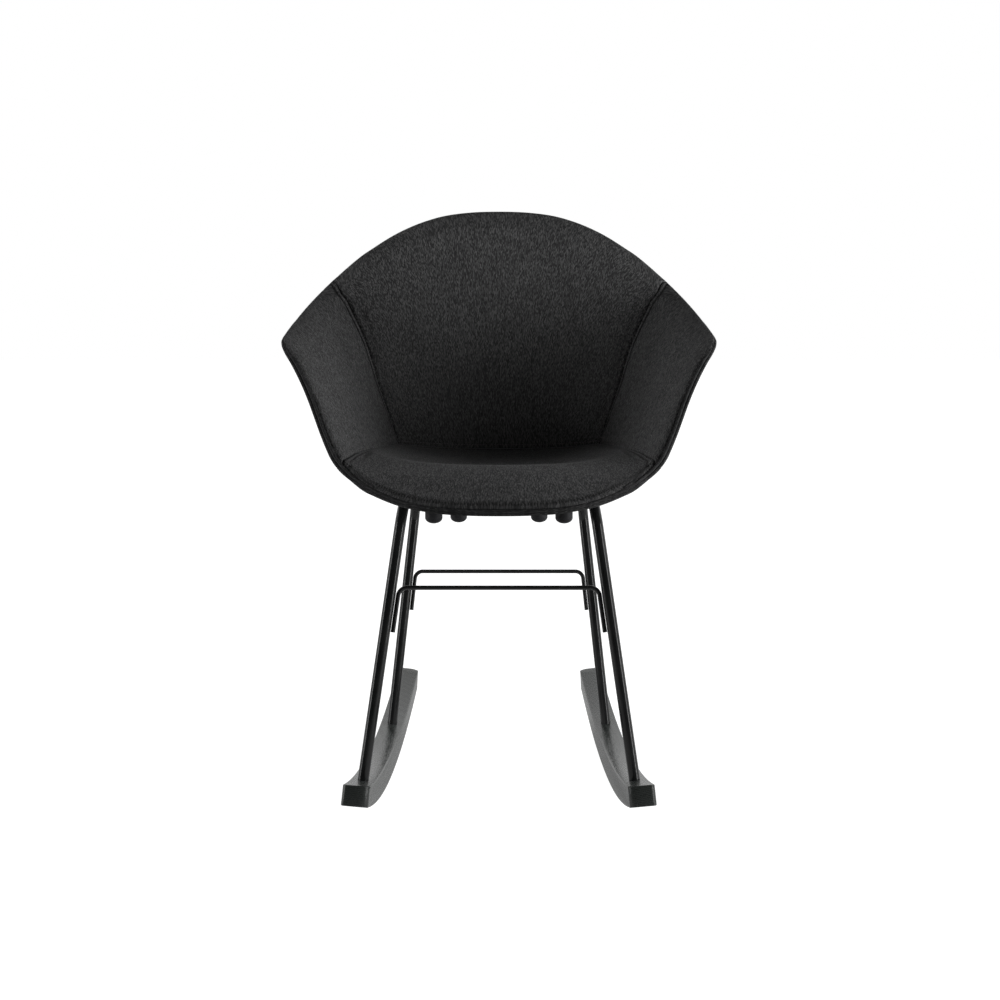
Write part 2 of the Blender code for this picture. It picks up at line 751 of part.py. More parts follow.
def build_outer_cover(face, finish, parent):
    inside = face.outer_cover_inside()
    mesh = layer_mesh(face.points, face.normals, face.cells, inside, inside + OUTER_COVER_THICKNESS)
    made = object_from("outer_cover", mesh, finish, parent)
    radius = BOSS_RADIUS + GAP
    reach = 3 * PAD_THICKNESS
    for name, place in mounts():
        hole = cutter_from(f"{name}_cover_hole", turned([
            (0.0, 0.0), (radius, 0.0), (radius, reach), (0.0, reach)]))
        hole.matrix_world = place
        add_boolean(made, hole, "DIFFERENCE")


def build_rim_band(name, face, depth, width, finish, parent):
    # Rounded band round the rim, just outside the edges of the layers
    maker = bmesh.new()
    points = face.points[face.rim]
    normals = face.normals[face.rim]
    along = np.roll(points, -1, axis=0) - np.roll(points, 1, axis=0)
    outward = np.cross(along, normals)
    outward = outward / np.linalg.norm(outward, axis=1)[:, None]
    rings = []
    for point, normal, out in zip(points, normals, outward):
        centre = point - normal * depth + out * (GAP + BAND_DEPTH / 2)
        section = []
        for side in range(BAND_SIDES):
            turn = math.tau * side / BAND_SIDES
            swing = out * math.cos(turn) * BAND_DEPTH / 2 + normal * math.sin(turn) * width / 2
            section.append(maker.verts.new(centre + swing))
        rings.append(section)
    for first, second in zip(rings, rings[1:] + rings[:1]):
        join_rings(maker, first, second)
    object_from(name, faces_out(maker), finish, parent)


def build_upholstery(finishes, parent):
    face = InnerFace(panel_grids())
    for panel in ("seat", "back", "left_arm", "right_arm"):
        build_panel(face, panel, finishes, parent)
    build_shell(face, finishes["plastic"], parent)
    build_outer_cover(face, finishes["fabric"], parent)
    width = (face.stack_at_rim() - SEAM_DRAW - GAP) / 2
    first = SEAM_DRAW + width / 2
    build_rim_band("rim_binding", face, first, width, finishes["fabric"], parent)
    build_rim_band("rim_welt", face, first + width + GAP, width, finishes["fabric"], parent)


def build_base(finishes, parent):
    metal = finishes["metal"]
    for hand, side in (("left", -1), ("right", 1)):
        build_side_frame(f"{hand}_side_frame", side, metal, parent)
        build_rocker(f"{hand}_rocker", side, finishes["wood"], parent)
        for row, leg in (("front", front_leg(side)), ("rear", rear_leg(side))):
            build_plug(f"{row}_{hand}_leg_plug", leg, finishes["steel"], parent)
            build_rocker_screw(f"{row}_{hand}_rocker_screw", leg, finishes["steel"], parent)
    build_stretcher("front_stretcher", front_leg, FRONT_ROD_Z, metal, parent)
    build_stretcher("rear_stretcher", rear_leg, REAR_ROD_Z, metal, parent)
    build_cross_bar("front_cross_bar", FRONT_MOUNT_Y, FRONT_MOUNT_HALF, metal, parent)
    build_cross_bar("rear_cross_bar", REAR_MOUNT_Y, REAR_MOUNT_HALF, metal, parent)
    for name, place in mounts():
        build_mount_bolt(f"{name}_mount_bolt", place, finishes["steel"], parent)
        height = FRONT_CAP_HEIGHT if name.startswith("front") else REAR_CAP_HEIGHT
        build_mount_cap(f"{name}_mount_cap", place, height, finishes["plastic"], parent)


def main():
    clear_scene()
    chair = bpy.data.objects.new("rocking_chair", None)
    bpy.context.scene.collection.objects.link(chair)
    finishes = {
        "fabric": material("charcoal_fabric", (0.030, 0.030, 0.032), 0.92, 0.0),
        "foam": material("grey_foam", (0.45, 0.45, 0.43), 0.95, 0.0),
        "plastic": material("black_plastic", (0.022, 0.022, 0.024), 0.55, 0.0),
        "metal": material("black_metal", (0.012, 0.012, 0.014), 0.35, 0.4),
        "steel": material("plain_steel", (0.55, 0.55, 0.56), 0.35, 1.0),
        "wood": material("black_stained_ash", (0.020, 0.021, 0.020), 0.50, 0.0),
    }
    build_base(finishes, chair)
    build_upholstery(finishes, chair)


main()
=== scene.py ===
import math

import bmesh
import bpy
import numpy as np
from mathutils import Matrix, Vector
from mathutils.bvhtree import BVHTree


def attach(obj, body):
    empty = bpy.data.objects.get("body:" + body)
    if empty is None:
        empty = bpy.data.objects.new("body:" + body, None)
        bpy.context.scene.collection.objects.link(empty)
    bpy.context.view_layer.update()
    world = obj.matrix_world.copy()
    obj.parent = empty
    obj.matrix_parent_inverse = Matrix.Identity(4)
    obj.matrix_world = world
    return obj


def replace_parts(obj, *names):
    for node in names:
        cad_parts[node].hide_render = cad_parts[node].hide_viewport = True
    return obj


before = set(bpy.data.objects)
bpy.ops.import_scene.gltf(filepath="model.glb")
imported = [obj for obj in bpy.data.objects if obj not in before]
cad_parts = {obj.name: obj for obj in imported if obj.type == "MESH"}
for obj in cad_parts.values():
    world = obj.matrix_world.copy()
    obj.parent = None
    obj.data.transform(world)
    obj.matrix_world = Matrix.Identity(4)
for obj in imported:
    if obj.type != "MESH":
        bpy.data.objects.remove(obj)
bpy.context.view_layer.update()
scene = bpy.context.scene
print("frame loaded:", len(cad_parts), "nodes")


# small helpers for shader and geometry trees

def feed(tree, node, inputs):
    # a socket is linked, a plain value is set
    for key, value in inputs.items():
        if isinstance(value, bpy.types.NodeSocket):
            tree.links.new(value, node.inputs[key])
        else:
            node.inputs[key].default_value = value


def put(tree, kind, inputs=None, **settings):
    node = tree.nodes.new(kind)
    for key, value in settings.items():
        setattr(node, key, value)
    feed(tree, node, inputs or {})
    return node


def maths(tree, operation, first, second=None):
    inputs = {0: first} if second is None else {0: first, 1: second}
    return put(tree, "ShaderNodeMath", inputs, operation=operation).outputs[0]


def ramp(tree, factor, stops):
    node = put(tree, "ShaderNodeValToRGB", {"Fac": factor})
    band = node.color_ramp.elements
    while len(band) < len(stops):
        band.new(0.5)
    for element, (place, colour) in zip(band, stops):
        element.position = place
        element.color = (*colour, 1.0)
    return node.outputs["Color"]


def evenNoise(tree, vector, scale, detail=2.0, roughness=0.5):
    return put(tree, "ShaderNodeTexNoise", {
        "Vector": vector, "Scale": scale, "Detail": detail, "Roughness": roughness}).outputs["Fac"]


def stretchedNoise(tree, vector, scale, detail=2.0, roughness=0.5):
    placed = put(tree, "ShaderNodeMapping", {"Vector": vector, "Scale": scale})
    return evenNoise(tree, placed.outputs[0], 1.0, detail, roughness)


def spanned(tree, value, span, between=(0.3, 0.7)):
    return put(tree, "ShaderNodeMapRange", {
        "Value": value, "From Min": between[0], "From Max": between[1],
        "To Min": span[0], "To Max": span[1]}).outputs[0]


def darkened(tree, colour, factor):
    return put(tree, "ShaderNodeMix", {"Factor": 1.0, 6: colour, 7: factor},
               data_type="RGBA", blend_type="MULTIPLY").outputs[2]


def bumped(tree, height, strength, distance):
    return put(tree, "ShaderNodeBump", {
        "Strength": strength, "Distance": distance, "Height": height}).outputs[0]


def objectPlace(tree):
    return put(tree, "ShaderNodeTexCoord").outputs["Object"]


def shadeOf(colour, factor):
    return tuple(factor * part for part in colour)


def newMaterial(name):
    made = bpy.data.materials.new(name)
    made.use_nodes = True
    tree = made.node_tree
    return made, tree, tree.nodes["Principled BSDF"]


# charcoal cloth, woven from two-tone yarn, with painted shade in its sewn channels and along the seat's front
# edge

weave = {
    "pitch": 0.0010,             # thread to thread
    "fleck": (0.0007, 0.0032),   # width and length of one tone of the yarn
    "darkYarn": (0.0140, 0.0140, 0.0143),
    "midYarn": (0.033, 0.033, 0.0335),
    "lightYarn": (0.093, 0.093, 0.093),
    "warpShare": (0.5, 0.80),    # change from thread to thread, and mean
    "cloud": (14.0, 9.0, 1.0), "cloudShades": (0.95, 1.05),
    "colourLeftInPaintedShade": 0.25,             # painted shade: what is left of the colour at the bottom of a sewn channel and at the seat's front edge
    "bump": 0.03, "bumpDepth": 0.4,
    "roughness": 0.93, "specular": 0.06,
    "sheen": 0.03, "sheenRoughness": 0.45, "sheenTint": (0.75, 0.75, 0.76, 1.0),
}


def clothMaterial(name, tone=1.0):
    made, tree, shader = newMaterial(name)
    flat = put(tree, "ShaderNodeUVMap", uv_map="cloth").outputs[0]
    apart = put(tree, "ShaderNodeSeparateXYZ", {"Vector": flat}).outputs
    wide, long = (1.0 / size for size in weave["fleck"])
    thread = maths(tree, "FLOOR", maths(tree, "MULTIPLY", apart["X"], wide))
    start = put(tree, "ShaderNodeTexWhiteNoise", {"W": thread}, noise_dimensions="1D").outputs["Value"]
    length = maths(tree, "FLOOR", maths(tree, "ADD", maths(tree, "MULTIPLY", apart["Y"], long), start))
    piece = put(tree, "ShaderNodeCombineXYZ", {"X": thread, "Y": length}).outputs[0]
    warp = put(tree, "ShaderNodeTexWhiteNoise", {"Vector": piece}, noise_dimensions="2D").outputs["Value"]
    weft = stretchedNoise(tree, flat, (long, wide, 1.0), 1.0)
    turn = math.pi / weave["pitch"]
    across, along = (maths(tree, "SINE", maths(tree, "MULTIPLY", apart[way], turn)) for way in "XY")
    over = maths(tree, "MULTIPLY", across, along)     # which thread lies on top
    change, mean = weave["warpShare"]
    warpOver = put(tree, "ShaderNodeMath", {0: over, 1: change, 2: mean},
                   operation="MULTIPLY_ADD", use_clamp=True).outputs[0]
    dark, mid, light = (shadeOf(weave[key], tone) for key in ("darkYarn", "midYarn", "lightYarn"))
    warpColour = ramp(tree, warp, [(0.0, dark), (0.5, mid), (1.0, light)])
    weftColour = ramp(tree, weft, [(0.20, dark), (0.48, mid), (0.80, mid)])
    woven = put(tree, "ShaderNodeMix", {"Factor": warpOver, 6: weftColour, 7: warpColour}, data_type="RGBA")
    cloudy = spanned(tree, stretchedNoise(tree, flat, weave["cloud"]), weave["cloudShades"])
    # painted shade: the cloth's colour is darkened by the value the cushions store on their points
    paintedCreaseShade = put(tree, "ShaderNodeAttribute", attribute_name="paintedCreaseShade").outputs["Fac"]
    pressedAndShaded = spanned(tree, paintedCreaseShade, (1.0, weave["colourLeftInPaintedShade"]), (0.0, 1.0))
    height = maths(tree, "MULTIPLY", over, 0.5)
    feed(tree, shader, {
        "Base Color": darkened(tree, darkened(tree, woven.outputs[2], cloudy), pressedAndShaded),
        "Normal": bumped(tree, height, weave["bump"], weave["pitch"] * weave["bumpDepth"]),
        "Roughness": weave["roughness"], "Specular IOR Level": weave["specular"],
        "Sheen Weight": weave["sheen"], "Sheen Roughness": weave["sheenRoughness"],
        "Sheen Tint": weave["sheenTint"]})
    return made


# black paint on steel tube, a little orange peel in the gloss

paint = {
    "colour": (0.0055, 0.0057, 0.0058), "worn": 1.6, "wear": 22.0,
    "roughness": (0.13, 0.22), "specular": 0.32,
    "peel": 420.0, "bump": 0.05, "peelDepth": 0.0004,
}


def paintMaterial(name):
    made, tree, shader = newMaterial(name)
    place = objectPlace(tree)
    wear = evenNoise(tree, place, paint["wear"], 4.0)
    worn = shadeOf(paint["colour"], paint["worn"])
    feed(tree, shader, {
        "Base Color": ramp(tree, wear, [(0.35, paint["colour"]), (0.75, worn)]),
        "Roughness": spanned(tree, wear, paint["roughness"]),
        "Normal": bumped(tree, evenNoise(tree, place, paint["peel"]), paint["bump"], paint["peelDepth"]),
        "Specular IOR Level": paint["specular"]})
    return made


# open-pored ash, stained black, with a satin lacquer

stain = {
    "pore": (0.005, 0.0055, 0.0052),
    "early": (0.013, 0.0145, 0.0137),
    "late": (0.027, 0.0300, 0.0284),
    "roughness": (0.22, 0.32), "specular": 0.38,
    "bend": (6.0, 1.6, 6.0), "bendBy": (0.020, 0.030),
    "rings": 120.0, "ringTurn": (0.0, 1.40, 0.0), "ringStretch": (1.0, 0.05, 1.0),
    "fibres": (1500.0, 26.0, 1500.0), "pores": (900.0, 34.0, 900.0),
    "bump": 0.16, "poreDepth": 0.0005,
}


def woodMaterial(name):
    made, tree, shader = newMaterial(name)
    place = objectPlace(tree)
    bend = stretchedNoise(tree, place, stain["bend"])
    sideways, upwards = (maths(tree, "MULTIPLY", bend, size) for size in stain["bendBy"])
    waved = put(tree, "ShaderNodeCombineXYZ", {"X": sideways, "Z": upwards}).outputs[0]
    shifted = put(tree, "ShaderNodeVectorMath", {0: place, 1: waved}, operation="ADD").outputs[0]
    turned = put(tree, "ShaderNodeMapping", {
        "Vector": shifted, "Scale": stain["ringStretch"], "Rotation": stain["ringTurn"]}).outputs[0]
    rings = put(tree, "ShaderNodeTexWave", {
        "Vector": turned, "Scale": stain["rings"], "Distortion": 1.4, "Detail": 2.0, "Detail Scale": 1.5},
        bands_direction="X").outputs["Fac"]
    fibres = stretchedNoise(tree, place, stain["fibres"], 3.0, 0.6)
    pores = stretchedNoise(tree, place, stain["pores"])
    grain = maths(tree, "ADD", maths(tree, "MULTIPLY", rings, 0.30), maths(tree, "MULTIPLY", fibres, 0.75))
    deep = ramp(tree, pores, [(0.36, (0, 0, 0)), (0.46, (1, 1, 1))])
    height = maths(tree, "ADD", maths(tree, "MULTIPLY", grain, 0.4), deep)
    feed(tree, shader, {
        "Base Color": ramp(tree, grain, [(0.18, stain["pore"]), (0.42, stain["early"]), (0.85, stain["late"])]),
        "Roughness": spanned(tree, fibres, stain["roughness"]),
        "Normal": bumped(tree, height, stain["bump"], stain["poreDepth"]),
        "Specular IOR Level": stain["specular"]})
    return made


# moulded plastic with a fine spark texture

plastic = {
    "spark": 1800.0, "bump": 0.25, "sparkDepth": 0.0002,
    "cloud": 60.0, "shades": (0.8, 1.2), "specular": 0.08,
}


def plasticMaterial(name, colour, roughness):
    made, tree, shader = newMaterial(name)
    place = objectPlace(tree)
    spark = evenNoise(tree, place, plastic["spark"])
    low, high = (shadeOf(colour, shade) for shade in plastic["shades"])
    feed(tree, shader, {
        "Base Color": ramp(tree, evenNoise(tree, place, plastic["cloud"], 3.0), [(0.3, low), (0.7, high)]),
        "Normal": bumped(tree, spark, plastic["bump"], plastic["sparkDepth"]),
        "Roughness": roughness, "Specular IOR Level": plastic["specular"]})
    return made


# turned and zinc-plated steel of the bolts and plugs

steel = {
    "brushed": (900.0, 900.0, 60.0), "roughness": (0.22, 0.48),
    "dull": (0.42, 0.42, 0.43), "bright": (0.60, 0.60, 0.61),
}


def steelMaterial(name):
    made, tree, shader = newMaterial(name)
    brushed = stretchedNoise(tree, objectPlace(tree), steel["brushed"])
    feed(tree, shader, {
        "Base Color": ramp(tree, brushed, [(0.3, steel["dull"]), (0.7, steel["bright"])]),
        "Roughness": spanned(tree, brushed, steel["roughness"], (0.0, 1.0)),
        "Metallic": 1.0})
    return made


# sewing thread, twisted

twisted = {"twist": 1400.0, "shades": (0.6, 1.3), "roughness": 0.8, "specular": 0.08}


def threadMaterial(name, colour):
    made, tree, shader = newMaterial(name)
    twist = evenNoise(tree, objectPlace(tree), twisted["twist"])
    low, high = (shadeOf(colour, shade) for shade in twisted["shades"])
    feed(tree, shader, {
        "Base Color": ramp(tree, twist, [(0.35, low), (0.65, high)]),
        "Roughness": twisted["roughness"], "Specular IOR Level": twisted["specular"]})
    return made


finish = {
    "cloth": clothMaterial("charcoalCloth"),
    # the bands' cloth at 0.40 of the colour: partly a darker binding cloth, partly painted shade of the crease
    # at the rim
    "darkAndShadedBandCloth": clothMaterial("charcoalBandClothDarkAndShaded", 0.40),
    "paint": paintMaterial("blackTubePaint"),
    "wood": woodMaterial("blackStainedAsh"),
    "cap": plasticMaterial("blackCapPlastic", (0.016, 0.016, 0.017), 0.48),
    "shell": plasticMaterial("blackShellPlastic", (0.020, 0.020, 0.021), 0.6),
    "steel": steelMaterial("plainSteel"),
    "thread": threadMaterial("greyThread", (0.085, 0.085, 0.086)),
    "darkThread": threadMaterial("blackThread", (0.005, 0.005, 0.005)),
}
print("materials made:", len(finish))


# inner face of the bucket: the same points as the solids, then refined

innerFace = {
    "seatMiddle": [(0, -0.3108, 0.449), (0, -0.2973, 0.469), (0, -0.2693, 0.488), (0, -0.2343, 0.4915),
                   (0, -0.1148, 0.4695), (0, 0.0347, 0.459), (0, 0.1337, 0.461)],
    "backMiddle": [(0, 0.1337, 0.461), (0, 0.1672, 0.505), (0, 0.1872, 0.5625), (0, 0.2062, 0.632),
                   (0, 0.2312, 0.721), (0, 0.2617, 0.825)],
    "seatSeam": [(0.2045, -0.2133, 0.4935), (0.185, -0.0978, 0.491), (0.167, 0.0217, 0.4815),
                 (0.152, 0.1052, 0.4725)],
    "backSeam": [(0.152, 0.1052, 0.4725), (0.1805, 0.1432, 0.5405), (0.2085, 0.1732, 0.6335),
                 (0.259, 0.1997, 0.7095)],
    "armFront": [(0.2045, -0.2133, 0.4935), (0.222, -0.1688, 0.515), (0.2525, -0.0943, 0.575),
                 (0.300, -0.0113, 0.641)],
    "armTop": [(0.300, -0.0113, 0.641), (0.2865, 0.0847, 0.669), (0.259, 0.1997, 0.7095)],
    "frontBow": (3.78, 4.54),
    "rearBow": (2.0, 2.0),
    "topBow": (2.0, 2.62),
    "cells": (12, 12, 10),     # across, along the seat, up the back
    "edgeCell": 0.03,
    "frontBias": 1.35,
    "smoothing": 10,
    "rimRounding": 2,
}

layers = {
    "pad": 0.020,
    "padAtRim": 0.007,
    "rimTaper": 0.070,
    "shell": 0.004,
    "outerCover": 0.002,
    "gap": 0.0003,
}


def curveThrough(points, at, wanted):
    # cubic through points at the given stations; works on rows of points too
    points = np.asarray(points, float)
    slopes = np.gradient(points, at, axis=0, edge_order=2)
    piece = np.clip(np.searchsorted(at, wanted, side="right") - 1, 0, len(at) - 2)
    shape = (-1,) + (1,) * (points.ndim - 1)
    span = (at[piece + 1] - at[piece]).reshape(shape)
    part = (wanted - at[piece]).reshape(shape) / span
    rise = part * part * (3 - 2 * part)
    curve = points[piece] * (1 - rise) + points[piece + 1] * rise
    curve += slopes[piece] * span * part * (1 - part) ** 2
    return curve - slopes[piece + 1] * span * part * part * (1 - part)


def stations(points):
    steps = np.linalg.norm(np.diff(points, axis=0), axis=-1).reshape(len(points) - 1, -1).mean(axis=1)
    return np.concatenate(([0.0], np.cumsum(steps)))


def vectorsAt(wanted, at, vectors, period=None):
    return np.stack([np.interp(wanted, at, vectors[:, axis], period=period) for axis in range(3)], axis=-1)


def splineAt(points, fractions):
    points = np.asarray(points, float)
    at = stations(points)
    fine = curveThrough(points, at, np.linspace(0, at[-1], 400))
    length = stations(fine)
    return vectorsAt(np.asarray(fractions) * length[-1], length, fine)


def graded(cells, bias=1.0):
    edge = innerFace["edgeCell"]
    inner = np.linspace(0.0, 1.0, cells - 1) ** bias
    return np.concatenate(([0.0], edge + (1 - 2 * edge) * inner, [1.0]))


def bowed(middle, side, across, nearBow, farBow):
    blend = np.linspace(0.0, 1.0, len(middle))[:, None]
    reach = np.abs(across)[None, :]
    grid = np.empty((len(middle), len(across), 3))
    grid[:, :, 0] = side[:, 0:1] * across[None, :]
    for axis in (1, 2):
        power = nearBow[axis - 1] * (1 - blend) + farBow[axis - 1] * blend
        grid[:, :, axis] = middle[:, axis:axis + 1] + (side - middle)[:, axis:axis + 1] * reach ** power
    return grid


def fourSided(low, high, near, far):
    p = np.linalg.norm(low - low[0], axis=1) / np.linalg.norm(low[-1] - low[0])
    q = np.linalg.norm(near - near[0], axis=1) / np.linalg.norm(near[-1] - near[0])
    p, q = p[:, None, None], q[None, :, None]
    between = (1 - q) * low[:, None] + q * high[:, None] + (1 - p) * near[None] + p * far[None]
    corners = ((1 - p) * (1 - q) * low[0] + p * (1 - q) * low[-1]
               + (1 - p) * q * high[0] + p * q * high[-1])
    return between - corners


def coarsePanels():
    acrossCells, alongCells, upCells = innerFace["cells"]
    across = 2 * graded(acrossCells) - 1
    along = graded(alongCells, innerFace["frontBias"])
    up = graded(upCells)
    line = {key: splineAt(innerFace[key], along) for key in ("seatMiddle", "seatSeam", "armTop")}
    line |= {key: splineAt(innerFace[key], up) for key in ("backMiddle", "backSeam", "armFront")}
    arm = fourSided(line["seatSeam"][::-1], line["armTop"][::-1], line["backSeam"], line["armFront"])
    front, rear, top = (innerFace[key] for key in ("frontBow", "rearBow", "topBow"))
    return {
        "seat": bowed(line["seatMiddle"], line["seatSeam"], across, front, rear),
        "back": bowed(line["backMiddle"], line["backSeam"], across, rear, top),
        "leftArm": arm * np.array((-1.0, 1.0, 1.0)),
        "rightArm": arm,
    }


def quadsOf(number):
    corners = [number[:-1, :-1], number[:-1, 1:], number[1:, 1:], number[1:, :-1]]
    return np.stack(corners, axis=-1).reshape(-1, 4)


def weldPanels(grids):
    # shared corner numbers, so that the panels can be smoothed as one sheet
    points, known, index, cells = [], {}, {}, []
    for panel, grid in grids.items():
        number = np.empty(grid.shape[:2], int)
        for spot in np.ndindex(number.shape):
            key = tuple(np.round(grid[spot], 6))
            if key not in known:
                known[key] = len(points)
                points.append(grid[spot])
            number[spot] = known[key]
        index[panel] = number
        cells.append(quadsOf(number)[:, ::-1] if panel == "rightArm" else quadsOf(number))
    return np.array(points), index, np.concatenate(cells)


def sheetNormals(points, cells):
    corners = points[cells]
    facing = np.cross(corners[:, 2] - corners[:, 0], corners[:, 3] - corners[:, 1])
    total = np.zeros_like(points)
    for corner in range(4):
        np.add.at(total, cells[:, corner], facing)
    return total / np.linalg.norm(total, axis=1)[:, None]


def smoothSheet(points, cells):
    sides = {}
    for cell in cells:
        for a, b in zip(cell, np.roll(cell, -1)):
            sides.setdefault((min(a, b), max(a, b)), []).append((a, b))
    after = dict(uses[0] for uses in sides.values() if len(uses) == 1)
    rim = [next(iter(after))]
    while after[rim[-1]] != rim[0]:
        rim.append(after[rim[-1]])
    rim = np.array(rim)
    for _ in range(innerFace["rimRounding"]):
        loop = points[rim]
        points[rim] = loop / 2 + (np.roll(loop, 1, axis=0) + np.roll(loop, -1, axis=0)) / 4
    pairs = np.array(list(sides))
    count = np.bincount(pairs.ravel(), minlength=len(points))[:, None]
    for _ in range(innerFace["smoothing"]):
        total = np.zeros_like(points)
        np.add.at(total, pairs[:, 0], points[pairs[:, 1]])
        np.add.at(total, pairs[:, 1], points[pairs[:, 0]])
        normals = sheetNormals(points, cells)
        step = ((total / count - points) * normals).sum(axis=1)
        step[rim] = 0.0
        points += normals * step[:, None] / 2
    return points, rim


def refined(grid, rows, columns):
    # rows and columns are fractions of the panel's mean length each way
    down = stations(grid)
    finer = curveThrough(grid, down, np.asarray(rows) * down[-1])
    over = stations(finer.swapaxes(0, 1))
    return curveThrough(finer.swapaxes(0, 1), over, np.asarray(columns) * over[-1]).swapaxes(0, 1)


def unit(vectors):
    return vectors / np.linalg.norm(vectors, axis=-1, keepdims=True)


def edgeDistance(points, line):
    # distance to a polyline, and how far along it the nearest point lies
    shape = points.shape[:-1]
    flat = points.reshape(-1, 3)
    length = stations(line)
    best = np.full(len(flat), np.inf)
    place = np.zeros(len(flat))
    for k in range(len(line) - 1):
        run = line[k + 1] - line[k]
        part = np.clip((flat - line[k]) @ run / (run @ run), 0.0, 1.0)
        away = np.linalg.norm(flat - line[k] - part[:, None] * run, axis=1)
        nearer = away < best
        best[nearer] = away[nearer]
        place[nearer] = (length[k] + part * (length[k + 1] - length[k]))[nearer]
    return best.reshape(shape), place.reshape(shape)


def eased(part):
    part = np.clip(part, 0.0, 1.0)
    return part * part * (3 - 2 * part)


def smoothStep(value, start, end):
    return eased((value - start) / (end - start))


sheetPoints, sheetIndex, sheetCells = weldPanels(coarsePanels())
sheetPoints, sheetRim = smoothSheet(sheetPoints, sheetCells)
sheetFacing = sheetNormals(sheetPoints, sheetCells)
rimLine = sheetPoints[np.append(sheetRim, sheetRim[0])]
print("inner face:", len(sheetCells), "cells, rim", round(float(stations(rimLine)[-1]), 3), "m")


# rim of the bucket: where its bands run, and where the cushion rolls over them

rim = {
    "step": 0.0011, "sides": 14, "start": 0.0034,
    "reach": 0.0045, "bandWidths": (0.0042, 0.0050),
    "overReach": (0.50, 0.90), "overDrop": (0.0032, 0.0006),   # along the back and the tops of the arms
    "grow": (0.0014, 0.0024, 0.0031),     # fullness of the edge: arm fronts, back, seat front
    "seatHalf": 0.17,
    "topTrim": 0.0024, "topTrimHalf": 0.08, "cornerTrim": 0.0018, "cornerTrimRun": 0.016,
    "cornerBlend": 0.030, "pastCorner": 0.028, "jointNotch": 0.0007, "jointWidth": 0.0010,
}


def rimFrames():
    # carried on past both ends, so that the curve closes smoothly
    loop = np.concatenate([sheetRim[-3:], sheetRim, sheetRim[:4]])
    points, facing = sheetPoints[loop], sheetFacing[loop]
    at = stations(points)
    start, end = at[3], at[3 + len(sheetRim)]
    wanted = np.linspace(start, end, int((end - start) / rim["step"]), endpoint=False)
    line = curveThrough(points, at, wanted)
    normal = unit(curveThrough(facing, at, wanted))
    along = unit(np.roll(line, -1, axis=0) - np.roll(line, 1, axis=0))
    return line, normal, unit(np.cross(along, normal)), wanted - start, end - start


rimPoints, rimFacing, rimOutward, rimPlace, rimLength = rimFrames()


def rimSpot(x, y, z):
    return rimPlace[np.argmin(np.linalg.norm(rimPoints - np.array((x, y, z)), axis=1))]


def rimBetween(x, y, z, inside, past):
    # 1 on the stretch of the rim between these two corners that holds the inside point
    first, second = sorted((rimSpot(x, y, z), rimSpot(-x, y, z)))
    within = (rimPlace > first) & (rimPlace < second)
    if not first < rimSpot(*inside) < second:
        within = ~within
    gaps = [np.abs(rimPlace - spot) for spot in (first, second)]
    away = np.minimum.reduce([np.minimum(gap, rimLength - gap) for gap in gaps])
    return eased((np.where(within, away, -away) + past) / (2 * rim["cornerBlend"]) + 0.5)


rimRollOver = rimBetween(*innerFace["armTop"][0], innerFace["backMiddle"][-1], rim["pastCorner"])
rimOfSeat = rimBetween(*innerFace["seatSeam"][0], innerFace["seatMiddle"][0], 0.0)
growArm, growBack, growSeat = rim["grow"]
seatMiddleShare = np.clip(1 - (rimPoints[:, 0] / rim["seatHalf"]) ** 2, 0.0, 1.0) ** 2
rimGrowth = growArm * (1 - rimRollOver) * (1 - rimOfSeat) + growBack * rimRollOver
rimGrowth = rimGrowth + growSeat * rimOfSeat * seatMiddleShare
rimGrowth = rimGrowth - rim["topTrim"] * rimRollOver * np.exp(-(rimPoints[:, 0] / rim["topTrimHalf"]) ** 2)
for cornerSide in (-1, 1):
    cornerGap = np.linalg.norm(rimPoints - np.array(innerFace["armTop"][0]) * (cornerSide, 1, 1), axis=1)
    rimGrowth = rimGrowth - rim["cornerTrim"] * np.exp(-(cornerGap / rim["cornerTrimRun"]) ** 2)


# cushions: each panel is a padded piece with rolled edges, drawn in at its seams and at the rim

cushion = {
    "seamDraw": 0.0034, "seamRoll": 0.0070, "slotDepth": 0.0030, "slotWidth": 0.0011,
    "armSeamFade": (0.100, 0.150, 0.25),   # from the rim: full until, faded at, what is left
    "rimZone": 0.045,
    "rimDraw": {"seat": 0.0036, "back": 0.0058, "leftArm": 0.0064, "rightArm": 0.0064},
    "rimRoll": {"seat": 0.0042, "back": 0.0230, "leftArm": 0.0115, "rightArm": 0.0115},
    "overDraw": 0.0058, "overRoll": 0.0230, "overhang": 0.0042, "overhangRun": 0.018,     # over the bands
    "crestAt": -0.236, "crestRise": 0.0015, "crestRun": 0.026,
    "hollowAt": -0.125, "hollowDrop": 0.0050, "hollowRun": 0.055, "hollowHalf": 0.17,
    "armSeamIn": (0.0088, 0.0016, 0.017),     # near the rim, below, place of most
    "armSeamRun": 0.035, "armSeamReach": 26,
    "channelAt": {"row0": 0.0066, "column0": 0.0085, "column1": 0.0085},
    "channelDepth": 0.0010, "channelWidth": 0.0011,
    # painted shade along the seat's front edge: how much, and the distance over which it fades
    "seatEdgePaintedShade": 0.45, "seatEdgePaintedShadeRun": (0.006, 0.010),
    "edgeStep": 0.0009, "middleStep": 0.0042, "edgeBand": 0.022,
    "clothStep": 0.0080, "mostPuff": 0.0035, "puffFade": 0.020, "simFrames": 20,
    "cloth": {"quality": 6, "mass": 0.02, "tension_stiffness": 12, "compression_stiffness": 12,
              "shear_stiffness": 6, "bending_stiffness": 0.6, "vertex_group_mass": "sewn",
              "use_pressure": True, "uniform_pressure_force": 2.5},
    "cover": 0.0003, "leastPad": 0.0008,
}
arms = ("leftArm", "rightArm")
sides = ("row0", "row1", "column0", "column1")
rimSides = {"seat": ("row0",), "back": ("row1",)} | dict.fromkeys(arms, ("row1", "column1"))
